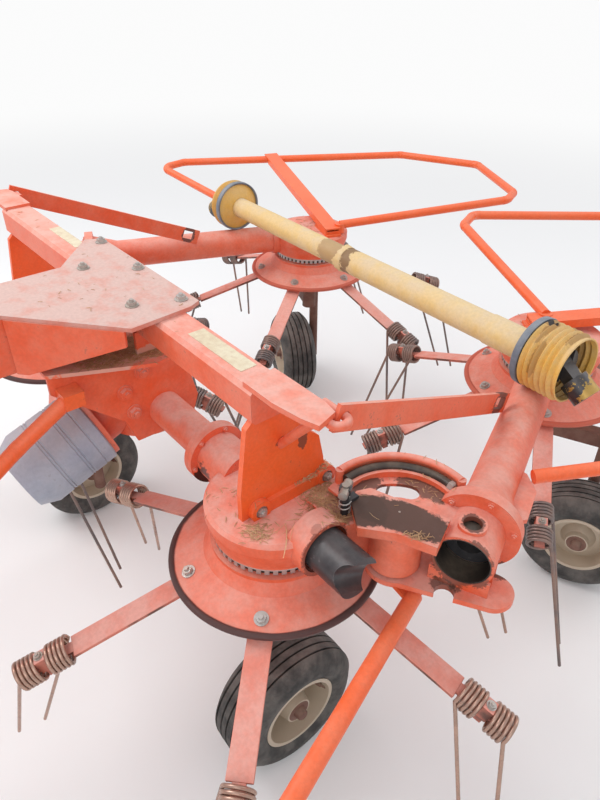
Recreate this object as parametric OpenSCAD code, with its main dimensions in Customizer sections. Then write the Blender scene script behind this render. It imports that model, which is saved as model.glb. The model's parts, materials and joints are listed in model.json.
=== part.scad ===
// Trailed hay tedder with four tined rotors, both outer arms swung back for the road.
// X is the machine's left, Y points rearward and Z up. The floor is z = 0.
// The heights and places below are those of the machine standing on its wheels and its jack.

/* [Layout] */
// Distance between neighbouring rotor axes at work
rotor_gap = 1250; // [1200:10:1300]
// Height of the rotor rims above the floor
rim_h = 776; // [760:1:800]
// Height of the frame tubes' axis above the rotor rims
tube_up = 149; // [145:1:155]
// Height of the cross beam's top above the frame tubes' axis
beam_up = 357; // [340:1:380]
// Swing pivot of an outer arm, outward from the inner rotor's axis
pivot_out = 239; // [235:1:243]
// Swing pivot of an outer arm, behind the frame tubes
pivot_back = 147; // [143:1:151]
// Angle by which the outer arms are swung back
fold_angle = 113.4; // [108:0.2:118]
// Turn of the tine arms about each rotor: left inner, right inner, left outer, right outer
phases = [14, 33, 6, 3];

/* [Frame] */
// Width of the cross beam along the machine
beam_w = 85; // [75:1:95]
// Height of the cross beam
beam_t = 80; // [70:1:90]
// Half the length of the cross beam, over the plates at its ends
beam_half = 828; // [815:1:840]
// Distance of the cross beam's middle ahead of the frame tubes
beam_ahead = 35; // [30:1:40]
// Outer diameter of the frame tubes
tube_d = 95; // [85:1:100]
// Thickness of the plate over the cross beam and the drawbar
plate_t = 10; // [6:1:14]
// Thickness of the lower plates and uprights
web_t = 10; // [6:1:12]
// Width of the drawbar
bar_w = 160; // [140:1:170]
// Height of the drawbar where it meets the cross beam
bar_h = 140; // [120:1:150]
// Distance from the frame tubes forward to the hitch eye
hitch_ahead = 1900; // [1800:10:2000]
// Height of the hitch eye
hitch_h = 500; // [450:5:550]
// Hole of the hitch eye
hitch_hole_d = 34; // [30:1:38]
// Thickness of the hitch eye
hitch_t = 30; // [24:1:36]

/* [Gearboxes] */
// Radius of a rotor gearbox's lid
lid_r = 160; // [150:1:166]
// Height of a rotor gearbox's lid above the frame tubes' axis
lid_up = 30; // [26:1:34]
// Radius of a rotor gearbox's lower bearing ring
ring_r = 138; // [130:1:142]
// Radius of the flange between a frame tube and its gearbox
flange_r = 80; // [74:1:84]
// Radius of the gearbox neck that carries the drive dog
neck_r = 68; // [64:1:70]
// Radius of the drive dog
dog_r = 50; // [46:1:52]
// Reach of the drive dog, outward from the rotor's axis
dog_out = 275; // [268:1:278]
// Slope of the input shaft, down towards the front
input_tilt = 20; // [18:1:24]

/* [Outer arms] */
// Mouth of an outer arm, outward from the inner rotor's axis at work
mouth_out = 227; // [224:1:230]
// Outer radius of the arm's mouth
mouth_r = 66; // [65:1:68]
// Bore radius of the arm's mouth
mouth_bore_r = 60; // [58:1:61]
// Radius of the flange ring on the arm
collar_r = 98; // [90:1:99]
// Outer diameter of the arm tubes
arm_d = 108; // [100:1:112]
// Radius of the swing pivot's pin
pin_r = 20; // [16:1:24]
// Radius of the rim around the swing pivot
sector_r = 172; // [168:1:176]
// Diameter of the guard hoops' tube
hoop_d = 34; // [28:1:38]
// Radius of the bends in the guard hoops
hoop_bend = 45; // [36:1:55]

/* [Rotors] */
// Radius of a rotor's rim
rim_r = 254; // [246:1:256]
// Number of tine arms on a rotor
arms = 6; // [5:1:6]
// Width of a tine arm
arm_w = 55; // [45:1:60]
// Thickness of a tine arm
arm_t = 10; // [8:1:12]
// Slope of the tine arms, in degrees
arm_slope = 18.5; // [16:0.5:21]
// Distance from the rotor's axis to the middle of the outer tine coil
coil_out = 590; // [580:1:596]
// Diameter of the tine wire
wire_d = 9.5; // [8:0.5:10]
// Outer diameter of a tine coil
coil_d = 72; // [66:1:76]
// Turns in a tine coil
turns = 5; // [4:1:6]
// Drop of the tine tips below the rotor rims
tine_drop = 525; // [500:1:540]

/* [Wheels] */
// Outer diameter of the tyres
tyre_d = 406; // [400:1:412]
// Width of the tyres
tyre_w = 165; // [155:1:170]
// Diameter of the rims
wheel_rim_d = 232; // [225:1:240]
// Radius of the stub axles
axle_r = 15; // [12:1:18]
// Thickness of the wheel legs
leg_d = 42; // [36:1:46]

/* [Drive shaft] */
// Diameter of the drive shaft's guard tube
shaft_d = 84; // [78:1:88]
// Radius of the bells at the ends of the drive shaft
bell_r = 95; // [90:1:100]
// Distance of the bells' middles outward of the arms they rest on
bell_out = 51; // [45:1:56]

/* [Fits] */
// Clearance around pins, axles and posts
fit = 0.05; // [0.02:0.01:0.1]
// Gap left at a resting seat
seat = 0.3; // [0.2:0.1:0.5]

/* [Hidden] */
$fn = 64;
paint = "#d8604a";
tube_z = rim_h + tube_up;
beam_z = tube_z + beam_up;
beam_y = -beam_ahead;
inner_x = rotor_gap / 2;
pivot = [inner_x + pivot_out, pivot_back];
mouth_x = inner_x + mouth_out;
work_x = inner_x + rotor_gap;
side_x = 125;
lid_z = tube_z + lid_up;
low_z = beam_z - bar_h;

// Places of the outer rotor once its arm is swung back
function turned(v, a) = [v.x * cos(a) - v.y * sin(a), v.x * sin(a) + v.y * cos(a)];
outer = pivot + turned([work_x, 0] - pivot, fold_angle);

// Guard hoop corners beside the swung back rotor: outward, rearward, height above the rims
hoop_up = 277;
foot_up = tube_up + lid_up + 35;
hoop_edge = 930;
hoop_left_path = [
  [-60, 30, foot_up], [-640, 320, hoop_up], [-690, 440, hoop_up], [-330, 870, hoop_up],
  [20, 985, hoop_up], [hoop_edge, 380, hoop_up], [hoop_edge, 215, hoop_up - 10], [356, -626, tube_up + hoop_d / 2 + 7]
];
hoop_right_path = [
  [-120, 62, foot_up], [-476, 711, hoop_up], [-434, 812, hoop_up], [-53, 1042, hoop_up],
  [314, 877, hoop_up], [hoop_edge, -50, hoop_up - 12], [hoop_edge, -172, hoop_up - 18],
  [135.5, -100, tube_up + 20]
];

// The machine's front and rear ends, so that its middle lies over the origin
eye_r = 45;
front_y = -hitch_ahead - eye_r;
bend_extra = 1.2;
function unit(v) = v / norm(v);
function turn_of(p, q, r) = acos(unit(q - p) * unit(r - q));
function bend_centre(p, q, r, bend) =
  q + unit(unit(r - q) - unit(q - p)) * bend / cos(turn_of(p, q, r) / 2);
function hoop_point(h, i) = [outer.x + h[i].x, outer.y + h[i].y, rim_h + h[i].z];
rear_y = bend_centre(
  hoop_point(hoop_right_path, 2), hoop_point(hoop_right_path, 3), hoop_point(hoop_right_path, 4), hoop_bend
).y + hoop_bend + (hoop_d + bend_extra) / 2;
middle_y = (front_y + rear_y) / 2;

// Helpers
module place() translate([0, -middle_y, 0]) children();
module right_side() mirror([1, 0, 0]) children();
module both_sides() {
  children();
  right_side() children();
}
module swung_back() translate([pivot.x, pivot.y, 0]) rotate([0, 0, fold_angle])
  translate([-pivot.x, -pivot.y, 0]) children();
module along_x(x, z = tube_z) translate([x, 0, z]) rotate([0, 90, 0]) children();
module plate_x(x, t) translate([x, 0, 0]) rotate([90, 0, 90]) linear_extrude(t) children();
module rod(a, b, d) {
  v = b - a;
  translate(a) rotate([0, acos(v.z / norm(v)), atan2(v.y, v.x)]) cylinder(d = d, h = norm(v));
}
// The bends are a little wider than the straight lengths, which run into them
bend_lap = 3;
module bent_tube(path, d, bend) {
  last = len(path) - 1;
  function trim(i) = i == 0 || i == last ? 0 : bend * tan(turn_of(path[i - 1], path[i], path[i + 1]) / 2);
  for (i = [0 : last - 1]) {
    u = unit(path[i + 1] - path[i]);
    lap = [i == 0 ? 0 : bend_lap, i == last - 1 ? 0 : bend_lap];
    rod(path[i] + u * (trim(i) - lap[0]), path[i + 1] - u * (trim(i + 1) - lap[1]), d);
  }
  for (i = [1 : last - 1]) {
    u = unit(path[i] - path[i - 1]);
    c = bend_centre(path[i - 1], path[i], path[i + 1], bend);
    ex = unit(path[i] - u * trim(i) - c);
    ez = cross(ex, u);
    multmatrix([[ex.x, u.x, ez.x, c.x], [ex.y, u.y, ez.y, c.y], [ex.z, u.z, ez.z, c.z], [0, 0, 0, 1]])
      rotate_extrude(angle = turn_of(path[i - 1], path[i], path[i + 1]))
        translate([bend, 0]) circle(d = d + bend_extra);
  }
}
module box_section(w, h, chamfer) polygon([
  [-w / 2 + chamfer, 0], [w / 2 - chamfer, 0], [w / 2, chamfer], [w / 2, h - chamfer],
  [w / 2 - chamfer, h], [-w / 2 + chamfer, h], [-w / 2, h - chamfer], [-w / 2, chamfer]
]);

// Frame
neck_y = -520;
module drawbar() color(paint) {
  rear = beam_y - beam_w / 2;
  tip = -hitch_ahead + 60;
  translate([-bar_w / 2, 0, 0]) plate_x(0, bar_w) polygon([
    [rear, low_z], [rear, beam_z], [neck_y, beam_z], [tip, hitch_h + 60], [tip, hitch_h - 45],
    [neck_y - 10, low_z]
  ]);
}
module hitch_eye() color(paint) difference() {
  union() {
    translate([0, -hitch_ahead, hitch_h - hitch_t / 2]) cylinder(r = eye_r, h = hitch_t);
    translate([-eye_r, -hitch_ahead, hitch_h - hitch_t / 2]) cube([2 * eye_r, 60, hitch_t]);
  }
  translate([0, -hitch_ahead, hitch_h - hitch_t]) cylinder(d = hitch_hole_d, h = 2 * hitch_t);
}
jack_x = bar_w / 2 + 40;
jack_y = -1420;
jack_d = 60;
jack_top = 905;
module jack_sleeve() color(paint) {
  translate([jack_x, jack_y, 330]) difference() {
    cylinder(d = jack_d, h = jack_top - 330);
    translate([0, 0, -1]) cylinder(d = jack_d - 10 + 2 * fit, h = 500);
  }
  translate([bar_w / 2, jack_y - 30, 640]) cube([jack_x - bar_w / 2 - jack_d / 2 + 3, 60, 90]);
  translate([jack_x, jack_y, jack_top]) cylinder(d = 34, h = 40);
  rod([jack_x, jack_y, jack_top + 28], [jack_x + 120, jack_y, jack_top + 28], 14);
  rod([jack_x + 120, jack_y, jack_top + 21], [jack_x + 120, jack_y, jack_top + 110], 22);
}
module jack_leg() color("#8a8a86") {
  translate([jack_x, jack_y, 8]) cylinder(d = jack_d - 10, h = 510);
  translate([jack_x, jack_y, 0]) cylinder(d = 150, h = 8);
}
module top_plate() color("#d9a79a") translate([0, 0, beam_z]) linear_extrude(plate_t) polygon([
  [-205, 45], [290, 45], [305, 15], [315, -140], [bar_w / 2, -336], [bar_w / 2, neck_y + 40],
  [-bar_w / 2 - 8, neck_y + 40], [-bar_w / 2 - 8, -126], [-226, 0]
]);
module centre_plates() color(paint) {
  translate([0, 0, low_z - web_t]) linear_extrude(web_t) polygon([
    [-side_x - web_t, 60], [side_x + web_t + 90, 60], [side_x + web_t + 110, -60],
    [side_x + web_t, -290], [-side_x - web_t, -290]
  ]);
  for (s = [-1, 1]) plate_x(s * (side_x + web_t / 2) - web_t / 2, web_t) polygon([
    [-288, low_z - web_t], [-288, low_z - 55], [-118, tube_z + 5], [-90, tube_z - 72],
    [80, tube_z - 72], [105, tube_z], [60, low_z - web_t]
  ]);
  for (x = [-190, 175]) translate([x, beam_y - beam_w / 2, low_z])
    cube([web_t, beam_w, beam_z - beam_t - low_z]);
  // Diagonal web under the top plate, deepest where it meets the drawbar
  translate([bar_w / 2, -330, 0]) rotate([0, 0, atan2(330 - 145, 300 - bar_w / 2)])
    rotate([90, 0, 0]) linear_extrude(8) polygon([
      [0, beam_z], [0, low_z], [30, low_z], [285, beam_z - 38], [285, beam_z]
    ]);
}
input_from = 173;
module on_input() translate([0, 0, tube_z]) rotate([90 + input_tilt, 0, 0]) children();
module centre_gearbox() color("#b9584a") {
  translate([0, 0, tube_z - 95]) cylinder(r = 112, h = 190);
  for (z = [tube_z - 103, tube_z + 95]) translate([0, 0, z]) cylinder(r = 92, h = 8);
  along_x(-side_x) cylinder(r = 78, h = 2 * side_x);
  on_input() cylinder(r = 70, h = input_from - 8);
  on_input() translate([0, 0, input_from - 14]) cylinder(r = 104, h = 14);
}
shaft_r = 17.5;
shaft_len = 157;
module input_shaft() color("#77777a") on_input() translate([0, 0, input_from]) cylinder(r = shaft_r, h = shaft_len);
guard_r = 112;
guard_wall = 5;
guard_len = 190;
module input_guard() color("#8f95a0") on_input() translate([0, 0, input_from]) difference() {
  union() {
    cylinder(r = guard_r, h = guard_len);
    translate([0, 0, guard_len]) cylinder(r1 = guard_r, r2 = guard_r - 22, h = 45);
  }
  translate([0, 0, 6]) cylinder(r = guard_r - guard_wall, h = guard_len - 5.5);
  translate([0, 0, guard_len]) cylinder(r1 = guard_r - guard_wall, r2 = guard_r - guard_wall - 22, h = 45.5);
  translate([0, 0, -1]) cylinder(r = 60, h = 20);
}
// The beam's box section ends over the uprights, and a plate carries the lock bar's loop beyond it
upright_x = inner_x + 10;
upright_t = 15;
box_half = upright_x + upright_t + 10;
cap_t = 12;
cap_top = beam_z + 8;
loop_r = 18;
loop_wire = 18;
loop_x = beam_half - 10;
loop_y = beam_y + beam_w / 2 - 6;
loop_z = cap_top - cap_t - loop_wire / 2 + 2;
brace_d = 20;
module cross_beam() color("#dc8f82") {
  front = beam_y - beam_w / 2;
  rear = beam_y + beam_w / 2;
  translate([-box_half, beam_y, beam_z - beam_t]) rotate([90, 0, 90])
    linear_extrude(2 * box_half) box_section(beam_w, beam_t, 9);
  both_sides() {
    translate([0, 0, cap_top - cap_t]) linear_extrude(cap_t) polygon([
      [box_half - 30, front + 4], [beam_half - 106, front + 4], [beam_half - 37, front + 14], [beam_half, front + 25],
      [beam_half - 14, rear - 10], [beam_half - 49, rear - 3], [box_half - 30, rear - 4]
    ]);
    for (s = [-1, 1]) rod([loop_x - 60, loop_y + s * loop_r, loop_z], [loop_x, loop_y + s * loop_r, loop_z], loop_wire);
    translate([loop_x, loop_y, loop_z]) rotate([0, 0, -90])
      rotate_extrude(angle = 180) translate([loop_r, 0]) circle(d = loop_wire);
    // Brace from the upright out to the plate's end
    difference() {
      rod([upright_x - 20, 12, beam_z - beam_t - 125], [beam_half - 25, beam_y - 8, cap_top - cap_t + 2], brace_d);
      translate([upright_x - 80, -60, beam_z - beam_t - 200]) cube([80 + upright_t, 120, 300]);
    }
  }
}
ear_at = [-65, 120];
module uprights() color("#e8683f") both_sides() difference() {
  union() {
    plate_x(upright_x, upright_t) polygon([
      [-106, lid_z], [-106, lid_z + 72], [-85, beam_z - beam_t - 14], [-70, beam_z - beam_t],
      [44, beam_z - beam_t], [66, beam_z - beam_t - 78], [106, beam_z - beam_t - 116],
      [120, beam_z - beam_t - 182], [129, lid_z]
    ]);
    // Rounded ears for the two long bolts, and the rib between them
    for (y = ear_at) translate([0, y, 0]) along_x(upright_x, lid_z + 16) cylinder(r = 26, h = upright_t + 16);
    translate([upright_x, ear_at[0], lid_z]) cube([upright_t + 12, ear_at[1] - ear_at[0], 30]);
  }
  translate([upright_x - 50, -200, lid_z - 50]) cube([150, 400, 50]);
  for (y = ear_at) translate([0, y, 0]) along_x(upright_x + upright_t + 10, lid_z + 16) cylinder(r = 15, h = 20);
}

// Lock bars between the beam's ends and the swung back arms
lock_t = 10;
lock_h = 55;
lock_len = 735;
lock_pitch = -23.7;
lock_yaw = 5.6;
lock_hole_r = 14;
module lock_bars() color("#e98a72") both_sides()
  translate([loop_x - 6, loop_y + loop_r, loop_z - (lock_hole_r - loop_wire / 2 - seat)])
    rotate([0, 0, lock_yaw]) rotate([lock_pitch, 0, 0]) difference() {
      translate([-lock_t / 2, -24, -lock_h / 2]) cube([lock_t, lock_len, lock_h]);
      rotate([0, 90, 0]) cylinder(r = lock_hole_r, h = 4 * lock_t, center = true);
      translate([-lock_t, lock_len - 92, -15]) cube([2 * lock_t, 44, 32]);
    }

// Joint face between a frame tube and its gearbox
joint_x = inner_x - 245;
module frame_tubes() color(paint) both_sides() {
  along_x(side_x + web_t) cylinder(d = tube_d, h = joint_x - side_x - web_t);
  along_x(joint_x - 14) cylinder(r = flange_r, h = 14);
}

// Rotor gearbox drum, centred on the rotor's axis
post_r = 45;
module gear_drum() {
  rotate_extrude() polygon([
    [0, lid_z], [lid_r - 8, lid_z], [lid_r, lid_z - 8], [lid_r, lid_z - 34], [ring_r + 8, lid_z - 78],
    [ring_r + 8, lid_z - 84], [ring_r, lid_z - 84], [ring_r, rim_h + 74], [post_r, rim_h + 74],
    [post_r, rim_h - 60], [0, rim_h - 60]
  ]);
}
// The necks start clear of what stands on the lid
neck_from = 120;
neck_end = 175;
ear_r = 58;
ear_low = tube_z - 74;
ear_top = tube_z + 36;
lug_top = ear_top + 6;
lug_low = ear_low - 20;
lug_t = 24;
pin_top = lug_top + lug_t - 8;
module inner_gearboxes() color(paint) both_sides() difference() {
  union() {
    translate([inner_x, 0, 0]) gear_drum();
    along_x(joint_x) cylinder(r = 62, h = inner_x - joint_x - neck_from);
    along_x(joint_x) cylinder(r = flange_r, h = 16);
    along_x(inner_x + neck_from) cylinder(r = neck_r, h = neck_end - neck_from);
    // Ears and web that carry the swing pivot
    translate([pivot.x, pivot.y, guard_z + 6 + seat]) cylinder(r = pin_r, h = pin_top - guard_z - 6 - seat);
    translate([0, 0, ear_low]) linear_extrude(ear_top - ear_low) {
      translate(pivot) circle(r = ear_r);
      polygon([
        [inner_x + 60, 40], [inner_x + 172, 40], pivot + [-ear_r * cos(42), -ear_r * sin(42)],
        pivot + [-ear_r * cos(110), ear_r * sin(110)], [inner_x + 60, 120]
      ]);
    }
  }
  along_x(inner_x + neck_end - 35) cylinder(r = neck_r - 10, h = 60);
}
module drive_dogs() color("#4c4c50") both_sides() difference() {
  along_x(inner_x + neck_end - 35 + seat) cylinder(r = dog_r, h = dog_out - neck_end + 35 - seat);
  // Scooped end that leaves two opposite jaws
  translate([inner_x + dog_out + 8, 0, tube_z]) rotate([60, 0, 0]) cylinder(r = 34, h = 200, center = true);
}
module latch_pins() color("#6d625c") both_sides() {
  translate([inner_x + 147, 76, ear_top]) cylinder(d = 18, h = 62);
  translate([inner_x + 147, 76, ear_top + 62]) cylinder(d = 30, h = 14, $fn = 6);
  translate([inner_x + 136, 76, ear_top + 34]) cube([22, 30, 8]);
}
leg_side = tyre_w / 2 + 8 + leg_d / 2;
wheel_in = 25;
leg_top = rim_h - 130;
module leg_set(out, back) {
  // The post under the rotor, the link to the leg, the leg and its stub axle
  s = sign(out);
  translate([0, 0, leg_top - 55]) cylinder(r = 30, h = rim_h - 60 - leg_top + 55);
  hub_x = out - s * leg_side;
  translate([min(0, out), back == 0 ? -22 : back - 22, leg_top - 50])
    cube([max(abs(out), 1), 44, 50]);
  if (back != 0) translate([-22, back - 22, leg_top - 50]) cube([44, abs(back) + 22, 50]);
  translate([out, back, tyre_d / 2 - 32]) cylinder(d = leg_d, h = leg_top - tyre_d / 2 + 32);
  translate([out, back, tyre_d / 2]) rotate([0, -s * 90, 0]) cylinder(r = axle_r, h = leg_side + tyre_w / 2 - 10);
}
module inner_legs() color("#7a4a33") both_sides() translate([inner_x, 0, 0])
  leg_set(wheel_in - leg_side, 0);
guard_z = rim_h + 26;
guard_d = 38;
module front_guards() color(paint) both_sides() {
    bent_tube([
      [inner_x + 314, 138, guard_z], [inner_x + 525, -480, guard_z + 5], [inner_x + 355, -860, guard_z + 5],
      [inner_x - 305, -900, guard_z + 5], [side_x + 40, -400, tube_z + 75],
      [side_x + web_t + 25, -250, tube_z + 155]
    ], guard_d, 70);
    // Bracket under the swing pivot's pin
    translate([pivot.x, pivot.y, guard_z - 6]) rotate([0, 0, -8]) translate([-22, -22, 0]) cube([102, 48, 12]);
    translate([side_x + web_t + seat, -275, tube_z + 135]) cube([50, 50, 40]);
  }

// Outer arms, drawn at work and then swung back
collar_x = mouth_x + 100;
collar_t = 30;
arm_end = work_x - lid_r - 12;
pan_from = -34;
pan_turn = 108;
module arm_tube() difference() {
  union() {
    along_x(mouth_x) cylinder(r = mouth_r, h = collar_x - mouth_x);
    along_x(collar_x) cylinder(r = collar_r, h = collar_t);
    along_x(collar_x + collar_t) cylinder(r1 = mouth_r + 14, r2 = arm_d / 2, h = 90);
    along_x(collar_x + collar_t) cylinder(d = arm_d, h = arm_end - collar_x - collar_t);
    translate([mouth_x + 44, 0, tube_z]) cylinder(r = 30, h = mouth_r + 6);
    // Solid lug over the swing pivot
    translate([pivot.x, pivot.y, lug_top]) linear_extrude(lug_t) polygon([
      [29, -pivot_back + 45], [41, 83], [18, 106], [-8, 108], [-83, 60], [-61, -17], [-61, -pivot_back + 45]
    ]);
    // Pan behind the pivot: floor, high outer wall with a rounded lip, lower inner wall
    translate([pivot.x, pivot.y, lug_top]) {
      linear_extrude(8) intersection() {
        circle(r = sector_r);
        polygon([[0, -pivot_back + 40], [140, -pivot_back + 30], [300, -210], [300, 300], [70, 300], [-20, 90]]);
      }
      rotate([0, 0, pan_from]) rotate_extrude(angle = pan_turn) {
        translate([sector_r - 12, 0]) square([12, 40]);
        translate([sector_r - 7, 40]) circle(r = 9);
        translate([128, 0]) square([9, 24]);
      }
      rotate([0, 0, pan_from]) translate([sector_r - 7, 0, 0]) cylinder(r = 10, h = 44);
      rotate([0, 0, pan_from + pan_turn]) translate([sector_r - 7, 0, 0]) cylinder(r = 10, h = 44);
    }
    // Lower lug, and the ribs between it and the mouth
    translate([0, 0, lug_low]) linear_extrude(14) difference() {
      union() {
        translate(pivot) circle(r = 66);
        polygon([pivot - [60, 20], [mouth_x - 22, -66], [mouth_x + 76, -66], pivot + [64, -10]]);
        translate([mouth_x + 27, -66]) circle(r = 49);
      }
      translate([mouth_x - 26, 20]) circle(r = 22);
    }
    for (x = [mouth_x, mouth_x + 34, mouth_x + 68]) translate([x, -64, lug_low]) cube([9, 130, tube_z - lug_low - 40]);
    // Bracket for the guard hoop's lower end
    translate([0, 0, tube_z - 6]) linear_extrude(12) polygon([
      [mouth_x + 173, 0], [mouth_x + 173, -86], [mouth_x + 180, -95], [mouth_x + 280, -95], [mouth_x + 334, -62],
      [mouth_x + 360, 0]
    ]);
  }
  translate([pivot.x, pivot.y, lug_low - 1]) cylinder(r = pin_r + fit, h = pin_top + 2 - lug_low);
  along_x(mouth_x - 70) cylinder(r = mouth_bore_r, h = 185);
  translate([mouth_x + 44, 0, tube_z]) cylinder(r = 20, h = 100);
  // Kidney shaped slot in the pan's floor
  translate([pivot.x, pivot.y, lug_top - 10]) rotate([0, 0, 3]) {
    for (a = [0, 38]) rotate([0, 0, a]) translate([84, 0, 0]) cylinder(r = 21, h = 30);
    rotate_extrude(angle = 38) translate([62, 0]) square([44, 30]);
  }
}
module arm_gearbox() translate([work_x, 0, 0]) {
  gear_drum();
  translate([-neck_from, 0, tube_z]) rotate([0, -90, 0]) cylinder(r = 60, h = work_x - arm_end - neck_from);
}
module arm_leg() translate([work_x, 0, 0]) leg_set(leg_side - 10, -250);
module arm_socket() along_x(mouth_x + 60) difference() {
  cylinder(r = mouth_bore_r - 6, h = 55 - seat);
  translate([0, 0, -1]) cylinder(r = 30, h = 26);
}
module arm_left() color("#dc8478") swung_back() arm_tube();
module arm_right() color("#dc8478") right_side() swung_back() arm_tube();
module arm_gearbox_left() color(paint) swung_back() arm_gearbox();
module arm_gearbox_right() color(paint) right_side() swung_back() arm_gearbox();
module arm_leg_left() color("#7a4a33") swung_back() arm_leg();
module arm_leg_right() color("#7a4a33") right_side() swung_back() arm_leg();
module arm_socket_left() color("#3c3c40") swung_back() arm_socket();
module arm_socket_right() color("#3c3c40") right_side() swung_back() arm_socket();

// Guard hoops: a bent tube, and the sloping strap from the gearbox lid to the middle of its long side
strap_w = 65;
strap_t = 6;
module hoop(h, foot, share) {
  points = [for (i = [0 : len(h) - 1]) hoop_point(h, i)];
  grip = points[4] * (1 - share) + points[5] * share;
  start = [outer.x + foot.x, outer.y + foot.y, lid_z + 32];
  v = grip + [0, 0, hoop_d / 2 - 1] - start;
  run = norm([v.x, v.y]);
  bent_tube(points, hoop_d, hoop_bend);
  translate(start) rotate([0, 0, atan2(v.y, v.x)]) {
    // Channel with its open side down
    rotate([0, -atan2(v.z, run), 0]) translate([-60, 0, 0]) difference() {
      translate([0, -strap_w / 2, -22]) cube([run + 84, strap_w, 22 + strap_t]);
      translate([-1, -strap_w / 2 + strap_t, -23]) cube([run + 86, strap_w - 2 * strap_t, 23]);
      translate([run + 20, -strap_w, -30]) cube([100, 2 * strap_w, 30]);
    }
    // Foot on the lid
    translate([-72, -strap_w / 2 + 1, lid_z - start.z]) cube([150, strap_w - 2, 9]);
    translate([-60, -strap_w / 2 + 1, lid_z - start.z]) cube([8, strap_w - 2, 20]);
  }
  // Clamp that holds the hoop's near end on the strap's foot
  translate([points[0].x, points[0].y, lid_z + 4]) cylinder(r = 22, h = points[0].z - lid_z + 2);
}
module hoop_left() color("#e0583c") hoop(hoop_left_path, [-40, 20], 0.52);
module hoop_right() color("#e0583c") right_side() hoop(hoop_right_path, [-77, 35], 0.6);

// Rotors
// Saucer: steep wall under the bearing ring, gentle slope and a rolled bead at the rim
bead_r = 8;
module rotor_hub() color(paint) rotate_extrude() {
  polygon([
    [post_r + fit, rim_h - 36], [70, rim_h - 36], [70, rim_h + 6], [185, rim_h + 6], [185, rim_h + 14],
    [150, rim_h + 14], [150, rim_h + 30], [170, rim_h + 26], [rim_r - 2 * bead_r, rim_h], [rim_r - bead_r, rim_h],
    [rim_r - bead_r, rim_h + 10], [rim_r - 2 * bead_r, rim_h + 10], [170, rim_h + 36], [152, rim_h + 62],
    [152, rim_h + 72 - seat], [post_r + fit, rim_h + 72 - seat]
  ]);
  translate([rim_r - bead_r, rim_h + 5]) circle(r = bead_r);
}
root_r = 95;
knee_r = 180;
coil_r = coil_d / 2;
pitch = wire_d;
coil_len = turns * pitch;
coil_gap = 24;
module tine_coil(at) translate([at, 0, 0]) rotate([0, 90, 0]) translate([0, 0, -coil_len / 2])
  rotate_extrude() polygon([
    [coil_r - wire_d, 0],
    for (i = [0 : turns - 1]) each [
      [coil_r - wire_d * 0.4, i * pitch], [coil_r, (i + 0.3) * pitch], [coil_r, (i + 0.7) * pitch]
    ],
    [coil_r - wire_d * 0.4, coil_len], [coil_r - wire_d, coil_len]
  ]);
module tine_arm(trail) {
  root_z = rim_h + 6 - arm_t;
  slope_len = (coil_out - knee_r) / cos(arm_slope) + coil_len / 2 + 6;
  inner_coil = slope_len - coil_len - 6 - coil_gap - coil_len / 2;
  outer_coil = slope_len - 6 - coil_len / 2;
  strip = inner_coil - coil_len / 2 - 8;
  // Flat bar, bent down at the knee
  rotate([90, 0, 0]) translate([0, 0, -arm_w / 2]) linear_extrude(arm_w) polygon([
    [root_r, root_z], [knee_r - arm_t * tan(arm_slope / 2), root_z],
    [knee_r + strip * cos(arm_slope) - arm_t * sin(arm_slope), root_z + arm_t - strip * sin(arm_slope) - arm_t * cos(arm_slope)],
    [knee_r + strip * cos(arm_slope), root_z + arm_t - strip * sin(arm_slope)],
    [knee_r, root_z + arm_t], [root_r, root_z + arm_t]
  ]);
  translate([knee_r, 0, root_z + arm_t]) rotate([0, arm_slope, 0]) {
    translate([strip - 4, -14, 1 - arm_t]) cube([slope_len - strip + 4, 28, arm_t - 2]);
    // Clamp block between the coils
    translate([inner_coil + coil_len / 2 - 2, -15, -arm_t / 2 - 12]) cube([coil_gap + 4, 30, coil_r + 8]);
    translate([0, 0, -arm_t / 2]) {
      tine_coil(inner_coil);
      tine_coil(outer_coil);
    }
  }
  // Tine legs, the outer one longer
  for (leg = [[inner_coil, 0.97, 64], [outer_coil, 1, 62]]) {
    start = [
      knee_r + leg[0] * cos(arm_slope), trail * (coil_r - wire_d / 2 - 2),
      root_z + arm_t / 2 - leg[0] * sin(arm_slope)
    ];
    tip = [
      start.x + 100, trail * 130, rim_h - tine_drop + (leg[1] == 1 ? 0 : 12)
    ];
    rod(start, tip, wire_d - 0.4);
  }
}
module tines(phase, trail) color("#5b524e") for (k = [0 : arms - 1])
  rotate([0, 0, phase + k * 360 / arms]) tine_arm(trail);

// Wheels, drawn about the X axis with the valve side outward
module tyre() color("#2c2c2c") rotate([0, 90, 0]) {
  r = tyre_d / 2;
  w = tyre_w / 2;
  rib = 7;
  difference() {
    rotate_extrude() intersection() {
      translate([wheel_rim_d / 2 + seat, -w]) square([r - wheel_rim_d / 2 - seat, tyre_w]);
      union() {
        translate([0, -w + 30]) square([r, tyre_w - 60]);
        translate([0, -w]) square([r - 34, tyre_w]);
        for (s = [-1, 1]) translate([r - 34, s * (w - 34)]) circle(r = 34);
      }
    }
    for (i = [-2 : 2]) translate([0, 0, i * 24 - 2]) difference() {
      cylinder(r = r + 1, h = 4);
      translate([0, 0, -1]) cylinder(r = r - rib, h = 6);
    }
  }
}
module wheel() color("#b9a58c") rotate([0, 90, 0]) rotate_extrude() {
  r = wheel_rim_d / 2;
  w = tyre_w / 2 - 10;
  polygon([
    [axle_r + fit, -w + 8], [38, -w + 8], [42, -w + 26], [60, -22], [r - 18, -16], [r - 12, -w], [r, -w],
    [r, w], [r - 12, w], [r - 18, -8], [60, -12], [42, w - 26], [38, w - 8], [axle_r + fit, w - 8]
  ]);
}
module at_inner_wheel() translate([inner_x + wheel_in, 0, tyre_d / 2]) children();
module at_outer_wheel() swung_back() translate([work_x - 10, -250, tyre_d / 2]) children();

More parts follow.
